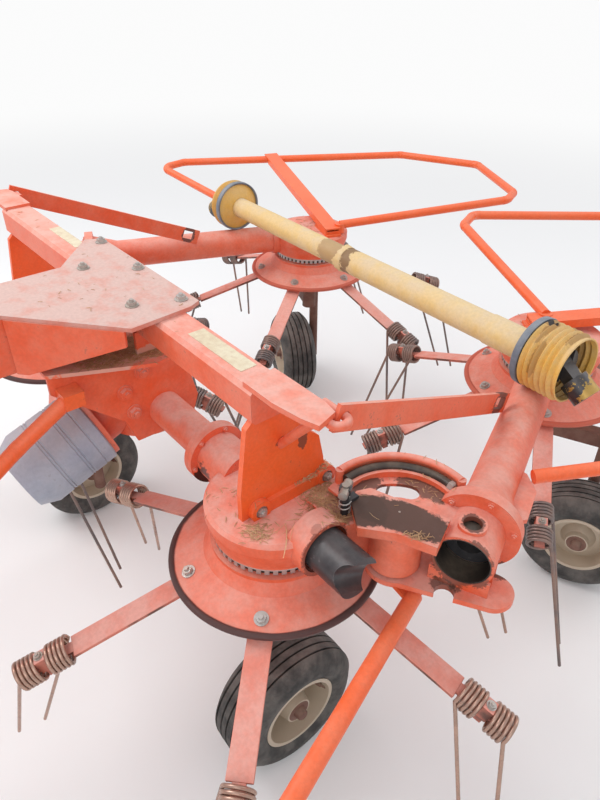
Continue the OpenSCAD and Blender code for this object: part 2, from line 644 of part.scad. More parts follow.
// Drive shaft laid across the two arms
shaft_z = tube_z + arm_d / 2 + bell_r + seat;
shaft_y = 830;
inner_d = shaft_d - 8;
bell_len = 105;
near_len = 34;
arm_from = pivot + turned([mouth_x, 0] - pivot, fold_angle);
bell_at = arm_from.x + (shaft_y - arm_from.y) * cos(fold_angle) / sin(fold_angle) + bell_out;
module on_arms() translate([0, shaft_y, shaft_z]) rotate([0, 0, -2]) rotate([0, 90, 0]) children();
module shaft_tubes() color("#d8bf7e") on_arms() {
  half = bell_at - bell_len / 2;
  translate([0, 0, -half]) cylinder(d = inner_d, h = half + 60);
  translate([0, 0, -40]) cylinder(d = shaft_d, h = half + 40);
}
module bell(len, lip, ribs, hole_r) rotate_extrude() difference() {
  polygon([
    [0, 0], [hole_r + 6, 0], [bell_r - 20, 20], [bell_r - 3, 24], [bell_r - 3, 36],
    for (i = [0 : ribs - 1]) each [[bell_r - 8, 36 + i * len / ribs], [bell_r, 36 + (i + 0.5) * len / ribs]],
    [bell_r - 4, 36 + len], [bell_r - 4, 36 + len + lip], [0, 36 + len + lip]
  ]);
  polygon([
    [-1, -1], [hole_r, -1], [hole_r, 8], [bell_r - 28, 28], [bell_r - 14, 36],
    [bell_r - 14, 36 + len + lip + 1], [-1, 36 + len + lip + 1]
  ]);
}
module shaft_bells() color("#d9a93c") on_arms() {
  translate([0, 0, bell_at - bell_len / 2 - 30]) bell(bell_len, 14, 6, shaft_d / 2 + seat);
  translate([0, 0, -bell_at + bell_len / 2 + 22]) mirror([0, 0, 1]) bell(near_len, 10, 3, inner_d / 2 + seat);
}
// Forks inside the bells, each holding a tongue whose cup hangs at a bend
yoke_bend = 32;
joint_at = 78;
tongue_t = 40;
module shaft_yokes() color("#4a463f") on_arms() for (s = [0, 1]) mirror([0, 0, s])
  translate([0, 0, bell_at - bell_len / 2 + seat]) {
    cylinder(r = 30, h = joint_at - 30);
    difference() {
      translate([0, 0, joint_at - 36]) cylinder(r = 46, h = 54);
      translate([-60, -tongue_t / 2 - 2, joint_at - 22]) cube([120, tongue_t + 4, 60]);
    }
    translate([0, 0, joint_at]) {
      rotate([90, 0, 0]) cylinder(r = 13, h = 104, center = true);
      rotate([0, yoke_bend, 0]) {
        rotate([90, 0, 0]) cylinder(r = 20, h = tongue_t, center = true);
        translate([-18, -tongue_t / 2, 0]) cube([36, tongue_t, 60]);
        translate([0, 0, 52]) cylinder(r = 38, h = 58);
      }
    }
  }

// What each name draws
place() drawbar();
place() hitch_eye();
place() jack_sleeve();
place() jack_leg();
place() top_plate();
place() centre_plates();
place() centre_gearbox();
place() input_shaft();
place() input_guard();
place() cross_beam();
place() uprights();
place() lock_bars();
place() frame_tubes();
place() inner_gearboxes();
place() drive_dogs();
place() latch_pins();
place() inner_legs();
place() front_guards();
place() arm_left();
place() arm_right();
place() arm_gearbox_left();
place() arm_gearbox_right();
place() arm_leg_left();
place() arm_leg_right();
place() hoop_left();
place() hoop_right();
place() arm_socket_left();
place() arm_socket_right();
place() translate([inner_x, 0, 0]) rotor_hub();  // rotor_inner_left
place() translate([-inner_x, 0, 0]) rotor_hub();  // rotor_inner_right
place() translate([outer.x, outer.y, 0]) rotor_hub();  // rotor_outer_left
place() translate([-outer.x, outer.y, 0]) rotor_hub();  // rotor_outer_right
place() translate([inner_x, 0, 0]) tines(phases[0], -1);  // tines_inner_left
place() translate([-inner_x, 0, 0]) tines(phases[1], 1);  // tines_inner_right
place() translate([outer.x, outer.y, 0]) tines(phases[2], 1);  // tines_outer_left
place() translate([-outer.x, outer.y, 0]) tines(phases[3], -1);  // tines_outer_right
place() at_inner_wheel() tyre();  // tyre_inner_left
place() right_side() at_inner_wheel() tyre();  // tyre_inner_right
place() at_outer_wheel() tyre();  // tyre_outer_left
place() right_side() at_outer_wheel() tyre();  // tyre_outer_right
place() at_inner_wheel() wheel();  // wheel_inner_left
place() right_side() at_inner_wheel() wheel();  // wheel_inner_right
place() at_outer_wheel() wheel();  // wheel_outer_left
place() right_side() at_outer_wheel() wheel();  // wheel_outer_right
place() shaft_tubes();
place() shaft_bells();
place() shaft_yokes();
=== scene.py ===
"""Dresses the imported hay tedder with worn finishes, and adds the small pieces that its solids leave out."""

import json
import logging
import math
import random
from dataclasses import dataclass, field, replace
from enum import Enum
from typing import Iterable, Optional, Sequence

import bmesh
import bpy
from mathutils import Matrix, Vector
from mathutils.bvhtree import BVHTree

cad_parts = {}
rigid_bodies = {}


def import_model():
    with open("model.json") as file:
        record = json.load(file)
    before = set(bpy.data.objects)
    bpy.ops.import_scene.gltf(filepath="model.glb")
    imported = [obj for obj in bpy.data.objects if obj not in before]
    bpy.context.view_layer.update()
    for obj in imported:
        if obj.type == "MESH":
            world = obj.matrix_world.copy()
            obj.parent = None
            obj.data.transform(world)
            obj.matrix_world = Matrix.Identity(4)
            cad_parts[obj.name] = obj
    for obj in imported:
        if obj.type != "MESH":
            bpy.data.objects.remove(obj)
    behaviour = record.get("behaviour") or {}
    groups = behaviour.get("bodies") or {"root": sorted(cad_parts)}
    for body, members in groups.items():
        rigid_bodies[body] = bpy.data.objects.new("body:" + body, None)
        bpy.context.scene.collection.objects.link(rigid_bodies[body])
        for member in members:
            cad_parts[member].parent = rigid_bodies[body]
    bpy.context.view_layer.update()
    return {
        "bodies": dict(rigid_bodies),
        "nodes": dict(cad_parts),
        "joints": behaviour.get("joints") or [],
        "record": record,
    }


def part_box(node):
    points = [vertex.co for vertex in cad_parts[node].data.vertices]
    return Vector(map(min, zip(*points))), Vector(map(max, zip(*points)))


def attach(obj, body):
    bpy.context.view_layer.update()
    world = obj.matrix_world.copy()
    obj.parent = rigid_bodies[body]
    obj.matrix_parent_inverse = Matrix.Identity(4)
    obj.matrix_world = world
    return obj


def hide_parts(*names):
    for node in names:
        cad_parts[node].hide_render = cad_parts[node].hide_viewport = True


LOG = logging.getLogger("tedder")
Colour = tuple[float, float, float]
Socket = bpy.types.NodeSocket
# Place, facing and size of one bolt or stalk
Spot = tuple[Vector, Vector, float]
# Points as radius and height
Outline = Sequence[tuple[float, float]]
Ring = Sequence[bmesh.types.BMVert]


class Side(Enum):
    """A side of the machine, with the sign of its X."""

    LEFT = 1
    RIGHT = -1

    @property
    def word(self) -> str:
        """The side's name as the bodies spell it."""
        return self.name.lower()


class Station(Enum):
    """A rotor's place along the work line."""

    INNER = "inner"
    OUTER = "outer"


# Shader node helpers


class Shader:
    """A small helper that places and links shader nodes in one tree."""

    def __init__(self, tree: bpy.types.NodeTree) -> None:
        """Keeps the tree to build in."""
        self.tree = tree

    @classmethod
    def of(cls, owner: bpy.types.ID) -> "Shader":
        """Empties the tree of a material or world.

        Args:
            owner: The material or world.

        Returns:
            The helper of its tree.
        """
        owner.use_nodes = True
        owner.node_tree.nodes.clear()
        return cls(owner.node_tree)

    @property
    def place(self) -> Socket:
        """The place on the object."""
        return self.add("ShaderNodeTexCoord").outputs["Object"]

    @property
    def normal(self) -> Socket:
        """The direction that the surface faces."""
        return self.add("ShaderNodeNewGeometry").outputs["Normal"]

    def fill(self, slot: Socket, value: object) -> None:
        """Links or sets an input.

        Args:
            slot: The input.
            value: A socket, a number, a vector or a colour; None leaves the input as it is.
        """
        if isinstance(value, Socket):
            self.tree.links.new(value, slot)
        elif value is not None:
            slot.default_value = (*value, 1.0) if slot.type == "RGBA" and len(value) == 3 else value

    def add(self, kind: str, inputs: Optional[dict] = None, **settings: object) -> bpy.types.Node:
        """Places a node.

        Args:
            kind: The node's type name.
            inputs: What its inputs get, by number.
            settings: Its properties, and its inputs by name with _ for a space.

        Returns:
            The new node.
        """
        node = self.tree.nodes.new(kind)
        for name, value in settings.items():
            if hasattr(node, name):
                setattr(node, name, value)
            else:
                self.fill(node.inputs[name.replace("_", " ")], value)
        for number, value in (inputs or {}).items():
            self.fill(node.inputs[number], value)
        return node

    def math(self, kind: str, a: object, b: object = None, clamp: bool = False) -> Socket:
        """Adds a Math node on sockets or numbers; clamp keeps the result between 0 and 1."""
        return self.add("ShaderNodeMath", {0: a, 1: b}, operation=kind, use_clamp=clamp).outputs[0]

    def times(self, a: object, b: object, clamp: bool = False) -> Socket:
        """Multiplies two values."""
        return self.math("MULTIPLY", a, b, clamp)

    def blend(self, a: Socket, share_a: float, b: Socket, share_b: float) -> Socket:
        """Adds two values, each times its share."""
        return self.math("ADD", self.times(a, share_a), self.times(b, share_b))

    def vector(self, kind: str, a: Socket, b: object = None) -> Socket:
        """Adds a Vector Math node.

        Args:
            kind: The operation.
            a: A vector socket.
            b: A second vector, the factor for SCALE, or None.

        Returns:
            The result's socket, a number for LENGTH and DOT_PRODUCT.
        """
        node = self.add("ShaderNodeVectorMath", {0: a, 3 if kind == "SCALE" else 1: b}, operation=kind)
        return node.outputs[1 if kind in ("LENGTH", "DOT_PRODUCT") else 0]

    def mix(self, share: object, a: object, b: object) -> Socket:
        """Mixes two colours, from a at 0 to b at 1."""
        return self.add("ShaderNodeMix", {0: share, 6: a, 7: b}, data_type="RGBA").outputs[2]

    def mix_shaders(self, share: object, a: Socket, b: Socket) -> Socket:
        """Mixes two shaders, from a at 0 to b at 1."""
        return self.add("ShaderNodeMixShader", {0: share, 1: a, 2: b}).outputs[0]

    def ramp(self, value: Socket, low: float, high: float, start: float = 0.0, end: float = 1.0) -> Socket:
        """Maps a value smoothly from low..high to start..end."""
        return self.add("ShaderNodeMapRange", interpolation_type="SMOOTHSTEP", Value=value, From_Min=low,
                        From_Max=high, To_Min=start, To_Max=end).outputs[0]

    def noise(self, vector: Socket, scale: object, detail: float = 5.0, rough: float = 0.55) -> Socket:
        """Adds a Noise Texture on a vector and returns its value."""
        node = self.add("ShaderNodeTexNoise", Vector=vector, Scale=scale, Detail=detail, Roughness=rough)
        return node.outputs[0]

    def wobble(self, vector: Socket, scale: float, detail: float, rough: float = 0.55) -> Socket:
        """Noise that swings about 0."""
        return self.math("SUBTRACT", self.noise(vector, scale, detail, rough), 0.5)


def new_group(name: str, given: dict[str, object], made: Sequence[str]) -> Shader:
    """Starts a shader node group.

    Args:
        name: The group's name.
        given: Its inputs' defaults by name: a number, a vector of three or a colour of four.
        made: Its outputs' names; Color is a colour and the rest are numbers.

    Returns:
        The helper of the group's tree.
    """
    tree = bpy.data.node_groups.new(name, "ShaderNodeTree")
    for label, value in given.items():
        kind = {3: "Vector", 4: "Color"}[len(value)] if isinstance(value, tuple) else "Float"
        socket = tree.interface.new_socket(label, in_out="INPUT", socket_type="NodeSocket" + kind)
        socket.default_value = value
    for label in made:
        kind = "Color" if label == "Color" else "Float"
        tree.interface.new_socket(label, in_out="OUTPUT", socket_type="NodeSocket" + kind)
    return Shader(tree)


def weathering_group() -> bpy.types.NodeTree:
    """Builds the shared effect of fading, chipped edges and settled dust.

    Returns:
        The shader node group.
    """
    name = "weathering"
    if name in bpy.data.node_groups:
        return bpy.data.node_groups[name]
    s = new_group(name, {
        "Base": (0.6, 0.1, 0.05, 1), "Faded": (0.7, 0.3, 0.2, 1), "Bare": (0.1, 0.06, 0.04, 1),
        "Dust": (0.5, 0.4, 0.3, 1), "Fading": 0.5, "Wear": 0.5, "Settled": 0.5, "Film": 0.1, "Grain": 1.0,
        "Edge": 0.003,
    }, ("Color", "Bare Mask", "Dust Mask", "Height"))
    given = s.add("NodeGroupInput").outputs
    out = s.add("NodeGroupOutput").inputs
    place, facing = s.place, s.normal
    broad, middle, fine = (
        s.noise(place, s.times(given["Grain"], scale), detail, rough)
        for scale, detail, rough in ((3.1, 4.0, 0.55), (17.0, 6.0, 0.62), (120.0, 4.0, 0.6))
    )
    # Fading: broad clouds broken up by finer ones
    fade = s.times(s.ramp(s.blend(broad, 0.6, middle, 0.4), 0.36, 0.64), given["Fading"], True)
    colour = s.mix(fade, given["Base"], given["Faded"])
    # Chips along edges, and a few away from them
    rounded = s.add("ShaderNodeBevel", samples=4, Radius=given["Edge"]).outputs[0]
    edge = s.ramp(s.math("SUBTRACT", 1.0, s.vector("DOT_PRODUCT", rounded, facing)), 0.02, 0.2)
    ragged = s.ramp(s.blend(middle, 0.7, fine, 0.3), 0.44, 0.58)
    chips = s.ramp(s.blend(middle, 0.55, fine, 0.45), 0.6, 0.66)
    bare = s.times(s.math("MAXIMUM", s.times(edge, ragged), s.times(chips, 0.8)), given["Wear"], True)
    colour = s.mix(bare, colour, given["Bare"])
    # Dust lies on what faces up, and a thin film of it everywhere
    upward = s.ramp(s.add("ShaderNodeSeparateXYZ", Vector=facing).outputs["Z"], 0.25, 0.95)
    patchy = s.ramp(s.blend(broad, 0.45, middle, 0.55), 0.3, 0.66, 0.35)
    settled = s.times(s.times(upward, patchy), given["Settled"])
    film = s.times(s.ramp(middle, 0.35, 0.7), given["Film"])
    dust = s.math("ADD", settled, film, True)
    colour = s.mix(dust, colour, given["Dust"])
    s.fill(out["Color"], s.vector("SCALE", colour, s.ramp(fine, 0.3, 0.7, 0.94, 1.04)))
    s.fill(out["Bare Mask"], bare)
    s.fill(out["Dust Mask"], dust)
    s.fill(out["Height"], s.math("SUBTRACT", s.blend(fine, 0.35, dust, 0.25), s.times(bare, 0.5)))
    return s.tree


def stain_group() -> bpy.types.NodeTree:
    """Builds the shared mask of one ragged patch.

    Returns:
        The shader node group.
    """
    name = "stain"
    if name in bpy.data.node_groups:
        return bpy.data.node_groups[name]
    s = new_group(name, {
        "Centre": (0, 0, 0), "Radii": (0.1, 0.1, 0.1), "Turn": 0.0, "Ragged": 0.4, "Strength": 0.9,
    }, ("Mask",))
    given = s.add("NodeGroupInput").outputs
    place = s.place
    away = s.vector("SUBTRACT", place, given["Centre"])
    turned = s.add("ShaderNodeVectorRotate", rotation_type="Z_AXIS", Vector=away,
                   Angle=s.times(given["Turn"], -1.0)).outputs[0]
    length = s.vector("LENGTH", s.vector("DIVIDE", turned, given["Radii"]))
    coarse = s.times(s.wobble(place, 22.0, 6.0, 0.65), 3.0)
    ragged = s.times(s.math("ADD", coarse, s.wobble(place, 150.0, 3.0, 0.6)), given["Ragged"])
    mask = s.ramp(s.math("ADD", length, ragged), 0.86, 1.0, 1.0, 0.0)
    s.add("NodeGroupOutput", Mask=s.times(mask, given["Strength"], True))
    return s.tree


@dataclass(frozen=True)
class Stain:
    """One patch round a place, with radii along the turned axes: grease, dirt and scraped paint, and in
    places painted shade and painted light.
    """

    centre: tuple[float, float, float]
    radii: tuple[float, float, float]
    colour: Colour = (0.045, 0.026, 0.018)
    strength: float = 0.92
    turn: float = 0.0
    ragged: float = 0.4

    def lay(self, s: Shader, colour: Socket) -> Socket:
        """Mixes the patch over a colour.

        Args:
            s: The helper of the material's tree.
            colour: The colour so far.

        Returns:
            The colour with the patch.
        """
        group = s.add("ShaderNodeGroup", node_tree=stain_group(), Centre=self.centre, Radii=self.radii,
                      Turn=self.turn, Ragged=self.ragged, Strength=self.strength)
        return s.mix(group.outputs["Mask"], colour, self.colour)


@dataclass(frozen=True)
class Finish:
    """One worn finish, as colours and amounts of fading, chipping and dust."""

    name: str
    base: Colour
    faded: Colour
    bare: Colour = (0.09, 0.05, 0.035)
    dust: Colour = (0.55, 0.42, 0.3)
    fading: float = 0.5
    wear: float = 0.5
    settled: float = 0.4
    film: float = 0.1
    grain: float = 1.0
    edge: float = 0.003
    metallic: float = 0.0
    roughness: float = 0.5
    dusty_roughness: float = 0.85
    bump: float = 0.12
    bump_height: float = 0.0015
    rim_centre: Optional[tuple[float, float]] = None
    rim_from: float = 0.0
    rim_colour: Colour = (0.02, 0.018, 0.016)
    # Dark brown for faces that stand upright: rust, and painted shade
    side_colour: Optional[Colour] = None
    stains: tuple[Stain, ...] = ()

    def material(self) -> bpy.types.Material:
        """Builds the finish's material once.

        Returns:
            The material.
        """
        if self.name in bpy.data.materials:
            return bpy.data.materials[self.name]
        made = bpy.data.materials.new(self.name)
        s = Shader.of(made)
        worn = s.add(
            "ShaderNodeGroup", node_tree=weathering_group(), Base=self.base, Faded=self.faded,
            Bare=self.bare, Dust=self.dust, Fading=self.fading, Wear=self.wear, Settled=self.settled,
            Film=self.film, Grain=self.grain, Edge=self.edge,
        ).outputs
        colour = worn["Color"]
        if self.rim_centre:
            colour = self.rimmed(s, colour)
        if self.side_colour:
            colour = self.sided(s, colour)
        for stain in self.stains:
            colour = stain.lay(s, colour)
        rough = s.ramp(worn["Dust Mask"], 0.0, 0.7, self.roughness, self.dusty_roughness)
        bump = s.add("ShaderNodeBump", Strength=self.bump, Distance=self.bump_height, Height=worn["Height"])
        shader = s.add("ShaderNodeBsdfPrincipled", Metallic=self.metallic, Base_Color=colour,
                       Roughness=rough, Normal=bump.outputs[0])
        s.add("ShaderNodeOutputMaterial", Surface=shader.outputs[0])
        return made

    def sided(self, s: Shader, colour: Socket) -> Socket:
        """Darkens the faces that stand upright, in patches, to a rust brown that is partly painted shade.

        Args:
            s: The helper of the material's tree.
            colour: The colour so far.

        Returns:
            The colour with tinted sides.
        """
        rise = s.math("ABSOLUTE", s.add("ShaderNodeSeparateXYZ", Vector=s.normal).outputs["Z"])
        patches = s.ramp(s.noise(s.place, 11.0, 4.0), 0.36, 0.56, 0.25, 0.95)
        return s.mix(s.times(s.ramp(rise, 0.25, 0.6, 1.0, 0.0), patches), colour, self.side_colour)

    def rimmed(self, s: Shader, colour: Socket) -> Socket:
        """Darkens what lies further from an upright axis than the rim's radius.

        Args:
            s: The helper of the material's tree.
            colour: The colour so far.

        Returns:
            The colour, darker past the rim's radius.
        """
        away = s.vector("SUBTRACT", s.place, (*self.rim_centre, 0.0))
        length = s.vector("LENGTH", s.vector("MULTIPLY", away, (1.0, 1.0, 0.0)))
        radius = s.math("ADD", length, s.times(s.wobble(away, 9.0, 4.0), 0.012))
        share = s.ramp(radius, self.rim_from, self.rim_from + 0.006, 0.0, 0.92)
        return s.mix(share, colour, self.rim_colour)


def stained(base: Finish, name: str, rows: Iterable[Sequence], **changes: object) -> Finish:
    """Puts stains on a finish.

    Args:
        base: The finish.
        name: The stained finish's name.
        rows: For each stain what Stain takes, in its order.
        changes: What else differs from the base.

    Returns:
        The stained finish.
    """
    stains = tuple(Stain(tuple(centre), *rest) for centre, *rest in rows)
    return replace(base, name=name, stains=stains, **changes)


PAINT = Finish("orange_paint", (0.76, 0.095, 0.025), (0.76, 0.16, 0.075), dust=(0.74, 0.34, 0.26),
               fading=0.6, settled=0.8, film=0.12, roughness=0.45)
PINK_PAINT = Finish("dusty_paint", (0.76, 0.115, 0.042), (0.76, 0.20, 0.115), dust=(0.74, 0.38, 0.31),
                    fading=0.65, settled=1.0, film=0.14, roughness=0.45)
PLATE_PAINT = Finish("plate_paint", (0.62, 0.20, 0.14), (0.64, 0.31, 0.25), dust=(0.60, 0.41, 0.36),
                     fading=0.9, wear=0.4, settled=1.15, film=0.3, roughness=0.6)
BRIGHT_PAINT = Finish("bright_paint", (0.84, 0.115, 0.02), (0.80, 0.16, 0.055), dust=(0.76, 0.29, 0.18),
                      fading=0.45, wear=0.42, settled=0.3, film=0.05, roughness=0.36)
# The bars' upright sides are dark brown: rust, and painted shade
BAR_PAINT = Finish("bar_paint", (0.72, 0.15, 0.085), (0.72, 0.25, 0.17), dust=(0.72, 0.36, 0.30), fading=0.8,
                   wear=0.35, settled=1.0, film=0.15, roughness=0.5, side_colour=(0.11, 0.045, 0.03))
RUSTY = Finish("rusty_leg", (0.115, 0.046, 0.030), (0.18, 0.082, 0.058), bare=(0.05, 0.028, 0.02),
               dust=(0.27, 0.19, 0.14), fading=0.9, wear=0.6, settled=0.5, film=0.25, roughness=0.7)
BARE_STEEL = Finish("worn_steel", (0.42, 0.41, 0.39), (0.27, 0.21, 0.17), bare=(0.10, 0.06, 0.04),
                    fading=0.6, wear=0.4, settled=0.3, film=0.12, metallic=0.7, roughness=0.38)
CLEAN_STEEL = Finish("clean_steel", (0.52, 0.50, 0.48), (0.36, 0.33, 0.30), bare=(0.16, 0.11, 0.08),
                     fading=0.7, wear=0.3, settled=0.2, film=0.12, metallic=0.7, roughness=0.38)
DARK_STEEL = Finish("greasy_steel", (0.035, 0.034, 0.038), (0.075, 0.073, 0.077), bare=(0.24, 0.23, 0.23),
                    dust=(0.22, 0.20, 0.19), fading=0.8, wear=0.7, settled=0.25, metallic=0.4, roughness=0.3)
# Near-black for the pan hose, the band behind the ring teeth and the mouth lining, which is partly painted
# shade
NEAR_BLACK = Finish("black_grease", (0.012, 0.010, 0.009), (0.035, 0.026, 0.02), fading=0.7, wear=0.1,
                      settled=0.1, roughness=0.4)
SPRING_STEEL = Finish("spring_steel", (0.15, 0.13, 0.13), (0.30, 0.19, 0.15), bare=(0.06, 0.04, 0.035),
                      dust=(0.36, 0.28, 0.24), fading=1.0, wear=0.35, settled=0.3, metallic=0.65,
                      roughness=0.38, grain=1.6)
COPPERY = Finish("coppery_steel", (0.52, 0.33, 0.25), (0.33, 0.22, 0.175), bare=(0.12, 0.08, 0.065),
                 dust=(0.52, 0.35, 0.28), fading=0.8, wear=0.3, settled=0.2, film=0.05, metallic=0.8,
                 roughness=0.27, grain=2.5)
RUBBER = Finish("dusty_rubber", (0.022, 0.021, 0.02), (0.055, 0.05, 0.045), bare=(0.02, 0.018, 0.017),
                dust=(0.21, 0.19, 0.17), fading=0.7, wear=0.2, settled=0.4, film=0.42, roughness=0.68)
RIM_PAINT = Finish("rim_paint", (0.36, 0.24, 0.14), (0.50, 0.38, 0.25), bare=(0.12, 0.055, 0.03),
                   dust=(0.28, 0.17, 0.10), fading=0.9, wear=1.0, settled=0.4, film=0.75, roughness=0.65)
GREY_PLASTIC = Finish("grey_plastic", (0.30, 0.33, 0.40), (0.42, 0.46, 0.54), bare=(0.14, 0.14, 0.16),
                      dust=(0.42, 0.41, 0.42), fading=0.8, wear=0.45, settled=0.6, film=0.25, roughness=0.42,
                      grain=0.8)
BLUE_PLASTIC = Finish("collar_plastic", (0.10, 0.12, 0.15), (0.20, 0.23, 0.28), bare=(0.06, 0.06, 0.065),
                      dust=(0.36, 0.36, 0.36), fading=0.8, wear=0.3, settled=0.4, film=0.25, roughness=0.45)
YELLOW_PLASTIC = Finish("yellow_plastic", (0.70, 0.40, 0.07), (0.74, 0.50, 0.17), bare=(0.24, 0.12, 0.035),
                        dust=(0.62, 0.46, 0.27), fading=0.7, wear=0.5, settled=0.5, film=0.3, roughness=0.42)
PALE_TUBE = Finish("pale_tube", (0.70, 0.48, 0.18), (0.74, 0.58, 0.31), bare=(0.32, 0.18, 0.07),
                   dust=(0.64, 0.50, 0.34), fading=0.9, wear=0.4, settled=0.6, film=0.3, roughness=0.5)
STRAW = Finish("straw", (0.74, 0.50, 0.26), (0.56, 0.36, 0.18), bare=(0.3, 0.18, 0.08), fading=0.9, wear=0.3,
               settled=0.1, film=0.1, roughness=0.7, grain=8.0, bump=0.1)
CHAFF = Finish("brown_chaff", (0.42, 0.22, 0.10), (0.62, 0.39, 0.20), bare=(0.16, 0.08, 0.04), fading=1.0,
               wear=0.4, settled=0.1, roughness=0.8, grain=14.0, bump=0.1)
CREAM = Finish("blank_plate", (0.74, 0.68, 0.50), (0.66, 0.55, 0.36), bare=(0.40, 0.13, 0.07), fading=0.8,
               wear=0.8, settled=0.3, film=0.2, grain=4.0)

NODE_FINISHES: dict[str, Finish] = {
    "drawbar": PAINT, "hitch_eye": PAINT, "jack_sleeve": PAINT, "jack_leg": BARE_STEEL,
    "top_plate": PLATE_PAINT, "centre_gearbox": PINK_PAINT, "input_shaft": BARE_STEEL,
    "input_guard": GREY_PLASTIC, "cross_beam": PINK_PAINT, "frame_tubes": PINK_PAINT,
    "drive_dogs": DARK_STEEL, "latch_pins": DARK_STEEL, "inner_legs": RUSTY, "front_guards": BRIGHT_PAINT,
    "shaft_bells": YELLOW_PLASTIC,
}
SIDE_FINISHES: dict[str, Finish] = {
    "arm_gearbox": PINK_PAINT, "arm_leg": RUSTY, "hoop": BRIGHT_PAINT, "arm_socket": DARK_STEEL,
}


# Mesh helpers


def new_object(name: str, data: bpy.types.ID) -> bpy.types.Object:
    """Makes an object in the scene.

    Args:
        name: Its name.
        data: Its mesh, lamp or camera.

    Returns:
        The object.
    """
    made = bpy.data.objects.new(name, data)
    bpy.context.scene.collection.objects.link(made)
    return made


def new_piece(name: str, mesh: bpy.types.Mesh, body: str, finish: Optional[Finish] = None,
              smooth_angle: Optional[float] = None) -> bpy.types.Object:
    """Makes an object that rides on a body.

    Args:
        name: The piece's name.
        mesh: Its mesh, already in its place.
        body: The body that it moves with.
        finish: Its finish, if the mesh has no material yet.
        smooth_angle: Edges flatter than this, in degrees, are shaded smooth.

    Returns:
        The object.
    """
    piece = new_object(name, mesh)
    if finish:
        mesh.materials.clear()
        mesh.materials.append(finish.material())
    if smooth_angle is not None:
        mesh.shade_smooth()
        mesh.set_sharp_from_angle(angle=math.radians(smooth_angle))
    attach(piece, body)
    LOG.info("%s: %d faces on %s", name, len(mesh.polygons), body)
    return piece


def mesh_from(name: str, bm: bmesh.types.BMesh, bevel: float = 0.0) -> bpy.types.Mesh:
    """Turns a bmesh with merged doubles and outward faces into a mesh.

    Args:
        name: The mesh's name.
        bm: The bmesh, which is freed.
        bevel: How wide its edges are cut off.

    Returns:
        The mesh.
    """
    bmesh.ops.remove_doubles(bm, verts=bm.verts, dist=1e-6)
    bmesh.ops.recalc_face_normals(bm, faces=bm.faces)
    if bevel:
        bmesh.ops.bevel(bm, geom=bm.edges, offset=bevel, segments=1, affect="EDGES")
    mesh = bpy.data.meshes.new(name)
    bm.to_mesh(mesh)
    bm.free()
    return mesh


def line_mesh(points: Sequence[Vector]) -> bpy.types.Mesh:
    """Makes a mesh of edges through points.

    Args:
        points: The points in order.

    Returns:
        The mesh.
    """
    mesh = bpy.data.meshes.new("line")
    mesh.from_pydata([tuple(p) for p in points], [(k, k + 1) for k in range(len(points) - 1)], [])
    return mesh


def bridge(bm: bmesh.types.BMesh, low: Ring, high: Ring) -> None:
    """Joins two rings of vertices, either of which may be one point.

    Args:
        bm: The mesh to add to.
        low: The first ring.
        high: The second ring.
    """
    for k in range(max(len(low), len(high))):
        n = k + 1
        corners = (low[k % len(low)], low[n % len(low)], high[n % len(high)], high[k % len(high)])
        unique = list(dict.fromkeys(corners))
        if len(unique) > 2:
            bm.faces.new(unique)


def lathe(bm: bmesh.types.BMesh, profile: Outline, frame: Matrix, steps: int) -> None:
    """Turns a closed or axis-ended profile about a frame's Z axis.

    Args:
        bm: The mesh to add to.
        profile: Its points, in metres.
        frame: The axis's place.
        steps: Steps round the turn.
    """
    rings = []
    for r, z in profile:
        angles = [0.0] if r < 1e-6 else [2 * math.pi * k / steps for k in range(steps)]
        rings.append([bm.verts.new(frame @ Vector((r * math.cos(a), r * math.sin(a), z))) for a in angles])
    for low, high in zip(rings, rings[1:]):
        bridge(bm, low, high)


def band(inner: float, outer: float, low: float, high: float) -> Outline:
    """The closed outline of a plain ring."""
    return [(inner, low), (outer, low), (outer, high), (inner, high), (inner, low)]


def turned_piece(name: str, parts: Iterable[tuple[Outline, Matrix, int]], body: str,
                 finish: Finish, smooth_angle: Optional[float] = None) -> bpy.types.Object:
    """Makes a piece of turned parts.

    Args:
        name: The piece's name.
        parts: Each part's outline, axis and steps round the turn.
        body: The body that it moves with.
        finish: Its finish.
        smooth_angle: Edges flatter than this, in degrees, are shaded smooth.

    Returns:
        The piece.
    """
    bm = bmesh.new()
    for profile, frame, steps in parts:
        lathe(bm, profile, frame, steps)
    return new_piece(name, mesh_from(name, bm), body, finish, smooth_angle)


def add_box(bm: bmesh.types.BMesh, frame: Matrix, low: Sequence[float], high: Sequence[float]) -> None:
    """Adds a box between two corners of a frame.

    Args:
        bm: The mesh to add to.
        frame: The frame.
        low: The lower corner.
        high: The upper corner.
    """
    low, high = Vector(low), Vector(high)
    place = Matrix.Translation((low + high) / 2) @ Matrix.Diagonal((*(high - low), 1))
    bmesh.ops.create_cube(bm, size=1.0, matrix=frame @ place)


def axis_frame(centre: Vector, axis: Vector) -> Matrix:
    """A frame at a centre whose Z points along an axis."""
    return Matrix.Translation(centre) @ axis.to_track_quat("Z", "Y").to_matrix().to_4x4()


# Geometry node helpers


